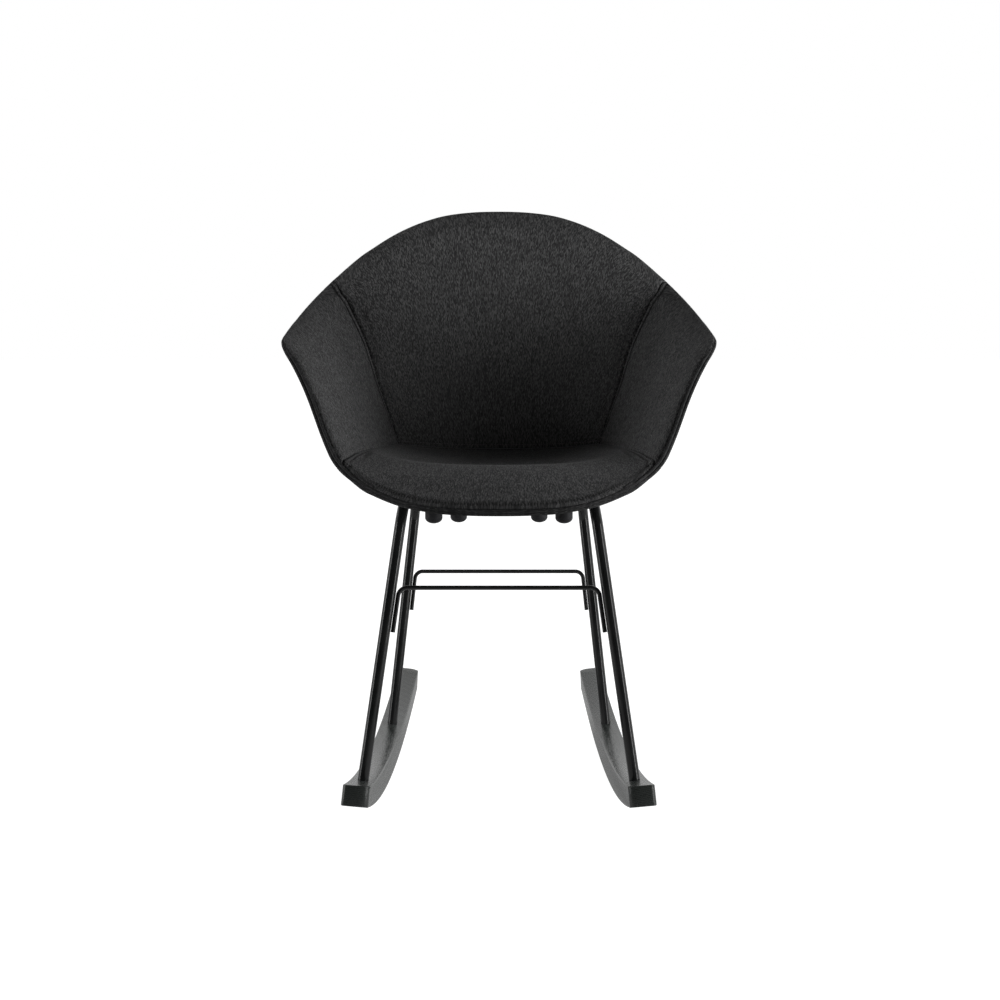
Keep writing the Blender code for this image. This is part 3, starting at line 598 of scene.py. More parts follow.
channelSides = {"seat": ("column0", "column1"), "back": ()} | dict.fromkeys(arms, ("row0",))
fadedSides = {"seat": ("column0", "column1"), "back": ()} | dict.fromkeys(arms, ("column0",))


def sideLine(grid, side):
    return dict(zip(sides, (grid[0], grid[-1], grid[:, 0], grid[:, -1])))[side]


def stepsFor(length, edgeStep, middleStep, band):
    # fractions that are close together near both ends
    places = [0.0]
    while places[-1] < length:
        near = min(places[-1], max(length - places[-1], 0.0))
        mix = max(min(near / band, 1.0) - 0.6, 0.0) / 0.4     # small steps over most of the band
        places.append(places[-1] + edgeStep + (middleStep - edgeStep) * mix)
    places = np.array(places)
    return places / places[-1]


def finePanel(panel, edgeStep, middleStep, band):
    # the panel in small steps: points, normals, cloth map, fractions and lengths each way
    grid = sheetPoints[sheetIndex[panel]]
    lengths = stations(grid)[-1], stations(grid.swapaxes(0, 1))[-1]
    steps = [stepsFor(length, edgeStep, middleStep, band) for length in lengths]
    fine = refined(grid, *steps)
    normal = unit(refined(sheetFacing[sheetIndex[panel]], *steps))
    across, along = np.meshgrid(steps[1] * lengths[1], steps[0] * lengths[0])
    if panel in arms:
        across, along = along, across
    return fine, normal, np.stack([across.ravel(), along.ravel()], axis=1), steps, lengths


def rolled(distance, depth, width):
    part = np.clip(distance / width, 0.0, 1.0)
    return depth * (1 - np.sqrt(1 - (1 - part) ** 2))


def puffed(panel, grid):
    # pressure under the cover, held at its sewn edges; returns how far each point moves
    rows, columns = grid.shape[:2]
    number = np.arange(rows * columns).reshape(rows, columns)
    quads = quadsOf(number)[:, ::-1] if panel == "rightArm" else quadsOf(number)
    mesh = bpy.data.meshes.new("trialCover")
    mesh.from_pydata(grid.reshape(-1, 3).tolist(), [], quads.tolist())
    trial = bpy.data.objects.new("trialCover", mesh)
    scene.collection.objects.link(trial)
    held = trial.vertex_groups.new(name="sewn")
    border = np.unique(np.concatenate([number[0], number[-1], number[:, 0], number[:, -1]]))
    held.add(border.tolist(), 1.0, "REPLACE")
    step = trial.modifiers.new("cover", "CLOTH")
    for key, value in cushion["cloth"].items():
        setattr(step.settings, key, value)
    step.settings.effector_weights.gravity = 0.0
    step.point_cache.frame_start = 1
    step.point_cache.frame_end = cushion["simFrames"]
    for moment in range(1, cushion["simFrames"] + 1):
        scene.frame_set(moment)
    shown = trial.evaluated_get(bpy.context.evaluated_depsgraph_get()).to_mesh()
    found = np.empty(len(shown.vertices) * 3)
    shown.vertices.foreach_get("co", found)
    moved = found.reshape(rows, columns, 3) - grid
    bpy.data.objects.remove(trial, do_unlink=True)
    scene.frame_set(1)
    size = np.linalg.norm(moved, axis=-1, keepdims=True)
    print("  cover of", panel, "puffed up to", round(1000 * float(size.max()), 2), "mm")
    return moved * np.minimum(1.0, cushion["mostPuff"] / np.maximum(size, 1e-9))


def meshFrom(name, points, faces, uv=None, smooth=True):
    mesh = bpy.data.meshes.new(name)
    mesh.from_pydata(np.asarray(points).tolist(), [], [list(f) for f in faces])
    if uv is not None:
        corners = np.empty(len(mesh.loops), int)
        mesh.loops.foreach_get("vertex_index", corners)
        mesh.uv_layers.new(name="cloth").data.foreach_set("uv", np.asarray(uv, float)[corners].ravel())
    if smooth:
        mesh.shade_smooth()
    made = bpy.data.objects.new(name, mesh)
    scene.collection.objects.link(made)
    return made


def closedPad(name, front, behind, uv, flip):
    rows, columns = front.shape[:2]
    number = np.arange(rows * columns).reshape(rows, columns)
    total = rows * columns
    quads = quadsOf(number)
    loop = np.concatenate([number[0], number[1:, -1], number[-1, -2::-1], number[-2:0:-1, 0]])
    ahead = np.roll(loop, -1)
    walls = np.stack([ahead, loop, loop + total, ahead + total], axis=-1)
    faces = np.concatenate([quads, quads[:, ::-1] + total, walls])
    if flip:
        faces = faces[:, ::-1]
    points = np.concatenate([front.reshape(-1, 3), behind.reshape(-1, 3)])
    return meshFrom(name, points, faces, np.concatenate([uv, uv]))


def padDepth(fromRim):
    return layers["padAtRim"] + (layers["pad"] - layers["padAtRim"]) * eased(fromRim / layers["rimTaper"])


fronts = {}     # finished front surface of each cushion, for the sewing
unslid = {}     # the back before its seams are drawn in


def seamPull(panel, side, place):
    # the seam between seat and arm is sewn flat towards the back
    if side not in fadedSides[panel]:
        return 1.0
    fromFront = place if panel == "seat" else place.max() - place
    full, faded, left = cushion["armSeamFade"]
    return 1 - (1 - left) * smoothStep(fromFront, full, faded)


def seamSlide(fromTop):
    # how far the seam between arm and back is drawn towards the middle, by the distance from its top
    near, rest, at = cushion["armSeamIn"]
    end = fromTop.max()
    along = near * fromTop / at * np.exp(1 - fromTop / at)
    return along + rest * smoothStep(fromTop, 0.0, 2 * at) * (1 - smoothStep(fromTop, end - 3 * at, end))


def acrossCurves(values):
    # length along each curve, for a stack of curves
    steps = np.linalg.norm(np.diff(values, axis=1), axis=-1)
    return np.concatenate([np.zeros((len(values), 1)), np.cumsum(steps, axis=1)], axis=1)


def takenAt(values, at, wanted):
    return np.stack([vectorsAt(*row) for row in zip(wanted, at, values)])


def slideSeam(panel, fine, normal):
    run, reach = cushion["armSeamRun"], cushion["armSeamReach"]
    if panel == "back":
        at = acrossCurves(fine)
        slide = seamSlide(stations(fine[::-1, 0])[::-1])[:, None]
        rest = at[:, -1:] - at
        wanted = at + slide * (np.exp(-(at / run) ** 2) - np.exp(-(rest / run) ** 2))
        unslid["back"] = (fine, normal)
        return takenAt(fine, at, wanted), unit(takenAt(normal, at, wanted))
    if panel == "seat":
        return fine, normal
    # one curve from the seam to the front in each row, begun on the back
    fine, normal = fine.swapaxes(0, 1), normal.swapaxes(0, 1)
    fromTop = stations(fine[::-1, 0])[::-1]
    backFine, backNormal = unslid["back"]
    if backFine[0, 0, 0] * fine[0, 0, 0] < 0:
        backFine, backNormal = backFine[:, ::-1], backNormal[:, ::-1]
    down = stations(backFine[::-1, 0])
    rows = np.interp(fromTop / fromTop[0], down / down[-1], np.arange(len(backFine))[::-1])
    lower = np.clip(rows.astype(int), 0, len(backFine) - 2)
    part = (rows - lower)[:, None, None]
    more = slice(reach, 0, -1)
    whole, wholeNormal = (
        np.concatenate([back[lower, more] * (1 - part) + back[lower + 1, more] * part, own], axis=1)
        for back, own in ((backFine, fine), (backNormal, normal)))
    at = acrossCurves(whole)
    at = at - at[:, reach:reach + 1]
    own = at[:, reach:]
    wanted = own - seamSlide(fromTop)[:, None] * np.exp(-(own / run) ** 2)
    return takenAt(whole, at, wanted).swapaxes(0, 1), unit(takenAt(wholeNormal, at, wanted)).swapaxes(0, 1)


def seatHollow(points):
    # a firm crest along the front and a hollow behind it
    across = np.clip(1 - (points[:, :, 0] / cushion["hollowHalf"]) ** 4, 0.0, 1.0)
    crest = np.exp(-((points[:, :, 1] - cushion["crestAt"]) / cushion["crestRun"]) ** 2)
    hollow = np.exp(-((points[:, :, 1] - cushion["hollowAt"]) / cushion["hollowRun"]) ** 2)
    return across * (cushion["hollowDrop"] * hollow - cushion["crestRise"] * crest)


def makeCushion(panel, name, nodes):
    fine, normal, uv, (rows, columns), lengths = finePanel(
        panel, cushion["edgeStep"], cushion["middleStep"], cushion["edgeBand"])
    fine, normal = slideSeam(panel, fine, normal)
    fromRim, _ = edgeDistance(fine, rimLine)
    draw = np.zeros(fine.shape[:2])
    paintedCreaseShade = np.zeros(fine.shape[:2])
    outward = np.zeros_like(fine)
    near = fromRim < cushion["rimZone"]
    away, place = edgeDistance(fine[near], np.append(rimPoints[::5], rimPoints[:1], axis=0))
    over = np.interp(place, rimPlace, rimRollOver, period=rimLength)
    lead = vectorsAt(place, rimPlace, rimOutward, rimLength)
    depth = cushion["rimDraw"][panel] * (1 - over) + cushion["overDraw"] * over
    width = cushion["rimRoll"][panel] * (1 - over) + cushion["overRoll"] * over
    draw[near] = rolled(away, depth, width)
    run = np.clip(1 - away / cushion["overhangRun"], 0.0, 1.0) ** 2
    grown = np.interp(place, rimPlace, rimGrowth, period=rimLength)
    outward[near] = unit(lead) * ((cushion["overhang"] * over + grown) * run)[:, None]
    fromEdge = fromRim
    for side in sides:
        away, place = edgeDistance(fine, sideLine(fine, side))
        fromEdge = np.minimum(fromEdge, away)
        if side not in rimSides[panel]:
            pull = seamPull(panel, side, place)
            draw = np.maximum(draw, pull * rolled(away, cushion["seamDraw"], cushion["seamRoll"]))
            draw = draw + pull * cushion["slotDepth"] * np.exp(-(away / cushion["slotWidth"]) ** 2)
        # a sewn channel is pressed in, and is also painted as shade in the cloth's colour
        if side in channelSides[panel]:
            line = (away - cushion["channelAt"][side]) / cushion["channelWidth"]
            pressedAndShaded = seamPull(panel, side, place) * np.exp(-line ** 2)
            draw = draw + cushion["channelDepth"] * pressedAndShaded
            paintedCreaseShade = np.maximum(paintedCreaseShade, pressedAndShaded)
    if panel == "seat":
        draw = draw + seatHollow(fine)
        # painted shade along the seat's sewn front edge
        away, _ = edgeDistance(fine, sideLine(fine, "row0"))
        paintedCreaseShade = np.maximum(paintedCreaseShade, cushion["seatEdgePaintedShade"] * (1 - smoothStep(away, *cushion["seatEdgePaintedShadeRun"])))
    thick = padDepth(fromRim) - cushion["cover"]
    draw = np.minimum(draw, thick - cushion["leastPad"])
    front = fine - normal * draw[:, :, None] + outward
    trialRows, trialColumns = (np.linspace(0, 1, int(size / cushion["clothStep"]) + 1) for size in lengths)
    moved = puffed(panel, refined(sheetPoints[sheetIndex[panel]], trialRows, trialColumns))
    spread = curveThrough(moved, trialRows, rows)
    spread = curveThrough(spread.swapaxes(0, 1), trialColumns, columns).swapaxes(0, 1)
    front = front + spread * smoothStep(fromEdge, 0.0, cushion["puffFade"])[:, :, None]
    behind = fine - normal * thick[:, :, None]
    made = closedPad(name, front, behind, uv, panel == "rightArm")
    made.data.materials.append(finish["cloth"])
    # the painted shade goes on the front points only
    made.data.attributes.new("paintedCreaseShade", "FLOAT", "POINT").data.foreach_set(
        "value", np.concatenate([paintedCreaseShade.ravel(), np.zeros(paintedCreaseShade.size)]))
    fronts[panel] = (front, normal, fine)
    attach(made, "root")
    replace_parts(made, *nodes)
    print("cushion", name, len(made.data.polygons), "faces")


makeCushion("seat", "seatCushion", ("seat_cover", "seat_foam"))
makeCushion("back", "backCushion", ("back_cover", "back_foam"))
makeCushion("leftArm", "leftArmCushion", ("left_arm_cover", "left_arm_foam"))
makeCushion("rightArm", "rightArmCushion", ("right_arm_cover", "right_arm_foam"))


# two cloth bands side by side right round the rim

def closedSweep(name, sections, uv):
    count, sides = sections.shape[:2]
    number = np.arange(count * sides).reshape(count, sides)
    onward = np.roll(number, -1, axis=0)
    faces = np.stack([number, np.roll(number, -1, axis=1), np.roll(onward, -1, axis=1), onward], axis=-1)
    return meshFrom(name, sections.reshape(-1, 3), faces.reshape(-1, 4), uv)


def makeBand(name, which, node):
    turn = 2 * np.pi * np.arange(rim["sides"]) / rim["sides"]
    pinch = np.zeros(len(rimPoints))
    for x, y, z in (innerFace["seatSeam"][0], innerFace["armTop"][-1]):
        for side in (-1, 1):
            away = np.abs(rimPlace - rimSpot(side * x, y, z))
            pinch = np.maximum(pinch, np.exp(-(away / rim["jointWidth"]) ** 2))
    shrink = 1 - pinch * rim["jointNotch"] / (rim["reach"] / 2)
    width = rim["bandWidths"][which]
    depth = rim["start"] + width / 2 + which * (rim["bandWidths"][0] + layers["gap"])
    depth = depth + rimRollOver * rim["overDrop"][which]
    reach = rim["reach"] * (1 - (1 - rim["overReach"][which]) * rimRollOver)
    outward = layers["gap"] + rimGrowth + reach / 2
    centre = rimPoints - rimFacing * depth[:, None] + rimOutward * outward[:, None]
    out = (rimOutward * (shrink * reach / 2)[:, None])[:, None]
    up = (rimFacing * (shrink * width / 2)[:, None])[:, None]
    sections = centre[:, None] + out * np.cos(turn)[None, :, None] + up * np.sin(turn)[None, :, None]
    around = turn * rim["reach"] / 2
    uv = np.stack(np.meshgrid(around, rimPlace), axis=-1).reshape(-1, 2)
    made = closedSweep(name, sections, uv)
    made.data.materials.append(finish["darkAndShadedBandCloth"])
    tidy = bmesh.new()
    tidy.from_mesh(made.data)
    bmesh.ops.recalc_face_normals(tidy, faces=tidy.faces[:])
    tidy.to_mesh(made.data)
    tidy.free()
    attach(made, "root")
    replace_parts(made, node)
    print("band", name, len(made.data.polygons), "faces")


makeBand("rimBindingBand", 0, "rim_binding")
makeBand("rimWeltBand", 1, "rim_welt")


# outer cover: cloth over the outside of the shell, sewn along the same lines as the inside

outer = {
    "step": 0.006, "edgeStep": 0.0022, "band": 0.012,
    "seamDraw": 0.0011, "seamRoll": 0.0055, "thickness": 0.0012,
    "search": 0.060, "mostLift": 0.006, "clear": 0.0006,     # over the moulded shell
}


def shellDepth(fine, normal):
    # how far out the moulded shell reaches behind each point
    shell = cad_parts["seat_shell"]
    tree = BVHTree.FromPolygons(
        [shell.matrix_world @ v.co for v in shell.data.vertices],
        [tuple(f.vertices) for f in shell.data.polygons])
    depth = np.zeros(fine.shape[:2])
    for spot in np.ndindex(depth.shape):
        start = fine[spot] - normal[spot] * outer["search"]
        found = tree.ray_cast(Vector(start), Vector(normal[spot]), outer["search"])[3]
        depth[spot] = 0.0 if found is None else outer["search"] - found
    return depth


def spreadOut(values, most):
    # largest or mean value of each point and its neighbours
    wide = np.pad(values, 1, mode="edge")
    rows, columns = values.shape
    near = np.stack([wide[r:r + rows, c:c + columns] for r in range(3) for c in range(3)])
    return near.max(axis=0) if most else near.mean(axis=0)


def makeOuterCover():
    points, faces, maps, area, start = [], [], [], 0.0, 0
    for panel in ("seat", "back", *arms):
        fine, normal, uv, _, _ = finePanel(panel, outer["edgeStep"], outer["step"], outer["band"])
        fromRim, _ = edgeDistance(fine, rimLine)
        deep = padDepth(fromRim) + layers["shell"] + layers["outerCover"] + 2 * layers["gap"]
        for side in sides:
            if side not in rimSides[panel]:
                away, _ = edgeDistance(fine, sideLine(fine, side))
                deep = deep - rolled(away, outer["seamDraw"], outer["seamRoll"])
        lift = shellDepth(fine, normal) + outer["clear"] + outer["thickness"] - deep
        lift = np.where((lift > 0) & (lift < outer["mostLift"]), lift, 0.0)
        for most in (True, True, False, False, False):     # widened twice, then smoothed
            lift = spreadOut(lift, most)
        print("  outer cover of", panel, "lifted up to", round(1000 * float(lift.max()), 2), "mm")
        deep = deep + lift
        outside = fine - normal * deep[:, :, None]
        inside = fine - normal * (deep - outer["thickness"])[:, :, None]
        made = closedPad("outerTrial", inside, outside, uv, panel == "rightArm")
        points += [tuple(v.co) for v in made.data.vertices]
        faces += [[start + k for k in face.vertices] for face in made.data.polygons]
        maps += [uv, uv]
        start = len(points)
        area += 0.5 * np.linalg.norm(np.cross(
            outside[1:, 1:] - outside[:-1, :-1], outside[1:, :-1] - outside[:-1, 1:]), axis=-1).sum()
        bpy.data.objects.remove(made, do_unlink=True)
    cover = meshFrom("outerCoverCloth", points, faces, np.concatenate(maps))
    cover.data.materials.append(finish["cloth"])
    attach(cover, "root")
    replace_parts(cover, "outer_cover")
    print("outer cover", len(faces), "faces, area", round(float(area), 3), "m2")


makeOuterCover()


# sewing: geometry nodes lay one stitch at each step along a line

sewing = {
    "topstitchPitch": 0.0042, "topstitchLength": 0.0029, "topstitchRadius": 0.00045,
    "armRows": (0.0040, 0.0066), "seamRow": 0.0046, "armSeamRun": 0.110,
    "channelPitch": 0.0040, "channelLength": 0.0036, "channelRadius": 0.00045,
    "tickPitch": 0.0040, "tickLength": 0.0052, "tickRadius": 0.00070,
    "tickFrom": 0.0010, "tickTo": 0.0062, "tickInset": (2.5, 2),     # inset at the ends in steps
    "lift": 0.00015, "searchRows": 40, "bead": (8, 6),
}


def stitchTree():
    tree = bpy.data.node_groups.new("stitchRow", "GeometryNodeTree")
    tree.interface.new_socket("Line", in_out="INPUT", socket_type="NodeSocketGeometry")
    sizes = {}
    for name in ("Pitch", "Stitch length", "Thread radius"):
        sizes[name] = tree.interface.new_socket(name, in_out="INPUT", socket_type="NodeSocketFloat")
    sizes["On points"] = tree.interface.new_socket("On points", in_out="INPUT", socket_type="NodeSocketBool")
    sizes["Thread"] = tree.interface.new_socket("Thread", in_out="INPUT", socket_type="NodeSocketMaterial")
    tree.interface.new_socket("Stitches", in_out="OUTPUT", socket_type="NodeSocketGeometry")
    given = put(tree, "NodeGroupInput")
    line = put(tree, "GeometryNodeMeshToCurve", {"Mesh": given.outputs["Line"]})
    spaced = put(tree, "GeometryNodeResampleCurve", {
        "Curve": line.outputs[0], "Length": given.outputs["Pitch"]}, mode="LENGTH")
    spots = put(tree, "GeometryNodeMeshToPoints", {"Mesh": given.outputs["Line"]})
    places = put(tree, "GeometryNodeSwitch", {
        "Switch": given.outputs["On points"], "False": spaced.outputs[0], "True": spots.outputs[0]},
        input_type="GEOMETRY")
    bead = put(tree, "GeometryNodeMeshUVSphere", {
        "Segments": sewing["bead"][0], "Rings": sewing["bead"][1], "Radius": 1.0})
    half = maths(tree, "MULTIPLY", given.outputs["Stitch length"], 0.5)
    size = put(tree, "ShaderNodeCombineXYZ", {
        "X": half, "Y": given.outputs["Thread radius"], "Z": given.outputs["Thread radius"]})
    stitch = put(tree, "GeometryNodeTransform", {"Geometry": bead.outputs["Mesh"], "Scale": size.outputs[0]})
    lie = put(tree, "GeometryNodeInputNamedAttribute", {"Name": "lie"}, data_type="FLOAT_VECTOR")
    up = put(tree, "GeometryNodeInputNamedAttribute", {"Name": "up"}, data_type="FLOAT_VECTOR")
    first = put(tree, "FunctionNodeAlignRotationToVector", {"Vector": lie.outputs["Attribute"]}, axis="X")
    turned = put(tree, "FunctionNodeAlignRotationToVector", {
        "Rotation": first.outputs[0], "Vector": up.outputs["Attribute"]}, axis="Z", pivot_axis="X")
    laid = put(tree, "GeometryNodeInstanceOnPoints", {
        "Points": places.outputs[0], "Instance": stitch.outputs[0], "Rotation": turned.outputs[0]})
    real = put(tree, "GeometryNodeRealizeInstances", {"Geometry": laid.outputs[0]})
    smooth = put(tree, "GeometryNodeSetShadeSmooth", {"Geometry": real.outputs[0]})
    dyed = put(tree, "GeometryNodeSetMaterial", {
        "Geometry": smooth.outputs[0], "Material": given.outputs["Thread"]})
    put(tree, "NodeGroupOutput", {"Stitches": dyed.outputs[0]})
    return tree, {name: socket.identifier for name, socket in sizes.items()}


rowTree, rowInputs = stitchTree()


def sewRow(name, lines, pitch, length, radius, thread):
    # each line is (points, which way a stitch lies, up); without a pitch there is a stitch at each point
    points, edges, lies, ups = [], [], [], []
    for line, lie, up in lines:
        first = len(points)
        points += line.tolist()
        edges += [(first + k, first + k + 1) for k in range(len(line) - 1)] if pitch else []
        lies.append(lie)
        ups.append(up)
    mesh = bpy.data.meshes.new(name + "Line")
    mesh.from_pydata(points, edges, [])
    for key, values in (("lie", lies), ("up", ups)):
        ways = mesh.attributes.new(key, "FLOAT_VECTOR", "POINT")
        ways.data.foreach_set("vector", np.concatenate(values).ravel())
    rail = bpy.data.objects.new(name + "Line", mesh)
    scene.collection.objects.link(rail)
    step = rail.modifiers.new("sew", "NODES")
    step.node_group = rowTree
    settings = {"Pitch": pitch, "Stitch length": length, "Thread radius": radius,
                "On points": pitch == 0.0, "Thread": thread}
    for key, value in settings.items():
        step[rowInputs[key]] = value
    made = bpy.data.objects.new(name, bpy.data.meshes.new_from_object(
        rail.evaluated_get(bpy.context.evaluated_depsgraph_get())))
    scene.collection.objects.link(made)
    bpy.data.objects.remove(rail, do_unlink=True)
    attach(made, "root")
    print("sewing", name, len(made.data.polygons) // math.prod(sewing["bead"]), "stitches")


def lineBeside(panel, side, away):
    # line on the finished cushion at a set distance in from one of its edges
    front, normal, flat = fronts[panel]
    if side.startswith("column"):
        front, normal, flat = (grid.swapaxes(0, 1) for grid in (front, normal, flat))
    if side.endswith("1"):
        front, normal, flat = front[::-1], normal[::-1], flat[::-1]
    front, normal = front[:sewing["searchRows"]], normal[:sewing["searchRows"]]
    reach, _ = edgeDistance(flat[:sewing["searchRows"]], flat[0])
    reach = np.maximum.accumulate(reach, axis=0)
    spots, facing = [], []
    for k in range(front.shape[1]):
        spots.append(vectorsAt(away, reach[:, k], front[:, k]))
        facing.append(vectorsAt(away, reach[:, k], normal[:, k]))
    return np.array(spots), unit(np.array(facing))


def topstitch(panel, side, away):
    line, up = lineBeside(panel, side, away)
    line, up = (line + up * sewing["lift"])[3:-3], up[3:-3]     # clear of the corners
    if side.startswith("column"):   # the seam between seat and arm, sewn twice only near the front
        length = stations(line)
        kept = length < sewing["armSeamRun"] if panel == "seat" else length > length[-1] - sewing["armSeamRun"]
        line, up = line[kept], up[kept]
    return line, unit(np.gradient(line, axis=0)), up


def tickStitches(panel, side):
    # short upright stitches along the rim
    inner, up = lineBeside(panel, side, sewing["tickTo"])
    edge, _ = lineBeside(panel, side, sewing["tickFrom"])
    length = stations(sideLine(fronts[panel][2], side))
    pitch, (first, last) = sewing["tickPitch"], sewing["tickInset"]
    at = np.arange(pitch * first, length[-1] - pitch * last, pitch)
    inner, edge, up = (vectorsAt(at, length, line) for line in (inner, edge, up))
    return (inner + edge) / 2 + up * sewing["lift"], unit(edge - inner), unit(up)


topRows, channelRows = [], []
for arm in arms:
    ridge, channel = sewing["armRows"]
    topRows.append(topstitch(arm, "row0", ridge))
    channelRows.append(topstitch(arm, "row0", channel))
    topRows.append(topstitch(arm, "column0", sewing["seamRow"]))
for panel, side in (("seat", "column0"), ("seat", "column1"), ("seat", "row1"), ("back", "row0")):
    topRows.append(topstitch(panel, side, sewing["seamRow"]))
sewRow("seamTopstitch", topRows, sewing["topstitchPitch"], sewing["topstitchLength"],
       sewing["topstitchRadius"], finish["thread"])
sewRow("channelStitch", channelRows, sewing["channelPitch"], sewing["channelLength"],
       sewing["channelRadius"], finish["darkThread"])
sewRow("rimStitch", [tickStitches("seat", "row0")], 0.0, sewing["tickLength"], sewing["tickRadius"],
       finish["darkThread"])


# tube frames and rods, smooth bends

base = {
    "rockerSpread": 0.1739, "toe": math.radians(3.0), "roll": math.radians(4.5), "edge": 0.0015,
    "length": 0.6432, "width": 0.0348, "thickness": 0.0385,
    "innerRound": 0.0160, "outerRound": 0.0065, "innerEdge": 0.0032,
    "steps": 80, "endZone": 0.02, "near": 0.001,     # where its edges are looked for, and how closely
    "soleRadius": 1.054, "soleLow": 0.0262, "soleFacet": 0.034, "topRadius": 1.218, "topLow": 0.0182,
    "tube": 0.0075, "bend": 0.040, "railHalf": 0.127, "socket": 0.014,
    "frontLeg": (-0.2353, -0.1773, 0.4345),     # place along the rocker, y and z at the rail
    "rearLeg": (0.1062, 0.1602, 0.390),
    "rod": 0.003, "rodBend": 0.012, "rodTail": 0.060, "frontRod": 0.3198, "rearRod": 0.274,
}


def arcRise(radius, along):
    return radius - math.sqrt(radius * radius - along * along)


def soleHeight(at):
    flat = arcRise(base["soleRadius"], base["soleFacet"] / 2)
    return max(arcRise(base["soleRadius"], at - base["soleLow"]) - flat, 0.0)


def topHeight(at):
    return base["thickness"] + arcRise(base["topRadius"], at - base["topLow"])


def rockerPlace(side):
    lift = (base["width"] / 2 - base["edge"]) * math.sin(base["roll"])
    return (Matrix.Translation((side * base["rockerSpread"], 0, lift))
            @ Matrix.Rotation(side * base["toe"], 4, "Z") @ Matrix.Rotation(-side * base["roll"], 4, "Y"))


def legEnds(side, leg):
    at, railY, railZ = base[leg]
    foot = rockerPlace(side) @ Vector((0, at, topHeight(at)))
    return foot, Vector((side * base["railHalf"], railY, railZ))


def roundedPath(corners, radius, steps=20):
    path = [corners[0]]
    for before, corner, after in zip(corners, corners[1:], corners[2:]):
        back, ahead = (before - corner).normalized(), (after - corner).normalized()
        half = back.angle(ahead) / 2
        middle = corner + (back + ahead).normalized() * radius / math.sin(half)
        start = corner + back * radius / math.tan(half) - middle
        axis = start.cross(corner + ahead * radius / math.tan(half) - middle)
        for k in range(steps + 1):
            path.append(middle + Matrix.Rotation((math.pi - 2 * half) * k / steps, 3, axis) @ start)
    return path + [corners[-1]]


def sweptTube(name, path, radius, sides=36):
    path = np.array([tuple(p) for p in path])
    tangent = unit(np.concatenate([path[1:2] - path[:1], path[2:] - path[:-2], path[-1:] - path[-2:-1]]))
    across = np.array(Vector(tangent[0]).orthogonal().normalized())
    turn = 2 * np.pi * np.arange(sides) / sides
    rings = []
    for point, way in zip(path, tangent):
        across = unit(across - way * (across @ way))
        other = np.cross(way, across)
        rings.append(point + radius * (np.cos(turn)[:, None] * across + np.sin(turn)[:, None] * other))
    rings = np.array(rings)
    number = np.arange(len(path) * sides).reshape(len(path), sides)
    beside = np.roll(number, -1, axis=1)
    faces = np.stack([number[:-1], beside[:-1], beside[1:], number[1:]], axis=-1)
    faces = [list(f) for f in faces.reshape(-1, 4)] + [list(number[0][::-1]), list(number[-1])]
    made = meshFrom(name, rings.reshape(-1, 3), faces)
    made.data.set_sharp_from_angle(angle=math.radians(50))
    made.data.materials.append(finish["paint"])
    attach(made, "root")
    return made


def makeFrames():
    for hand, side in (("left", -1), ("right", 1)):
        ends = []
        for leg in ("frontLeg", "rearLeg"):
            foot, corner = legEnds(side, leg)
            ends.append((foot - (corner - foot).normalized() * base["socket"], corner))
        path = roundedPath([ends[0][0], ends[0][1], ends[1][1], ends[1][0]], base["bend"])
        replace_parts(sweptTube(hand + "FrameTube", path, base["tube"]), hand + "_side_frame")
    for row, leg, height in (("front", "frontLeg", base["frontRod"]), ("rear", "rearLeg", base["rearRod"])):
        corners = []
        for side in (1, -1):
            foot, corner = legEnds(side, leg)
            up = (corner - foot).normalized()
            inward = Vector((-side, 0, 0))
            inward = (inward - up * inward.dot(up)).normalized()
            start = foot + inward * (base["tube"] + base["rod"] + layers["gap"])
            bend = start + up * (height - start.z) / up.z
            tail = bend - up * base["rodTail"]
            corners += [tail, bend] if side == 1 else [bend, tail]
        path = roundedPath(corners, base["rodBend"])
        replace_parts(sweptTube(row + "Rod", path, base["rod"], 24), row + "_stretcher")
    print("tube frames and rods made")


makeFrames()


# rockers

def pieceFrom(shape, name, material, sharpFrom):
    mesh = bpy.data.meshes.new(name)
    shape.to_mesh(mesh)
    shape.free()
    mesh.shade_smooth()
    mesh.set_sharp_from_angle(angle=math.radians(sharpFrom))
    mesh.materials.append(finish[material])
    made = bpy.data.objects.new(name, mesh)
    scene.collection.objects.link(made)
    return made


def bevelled(shape, edges, offset, segments):
    bmesh.ops.bevel(shape, geom=edges, offset=offset, segments=segments, profile=0.5, affect="EDGES")


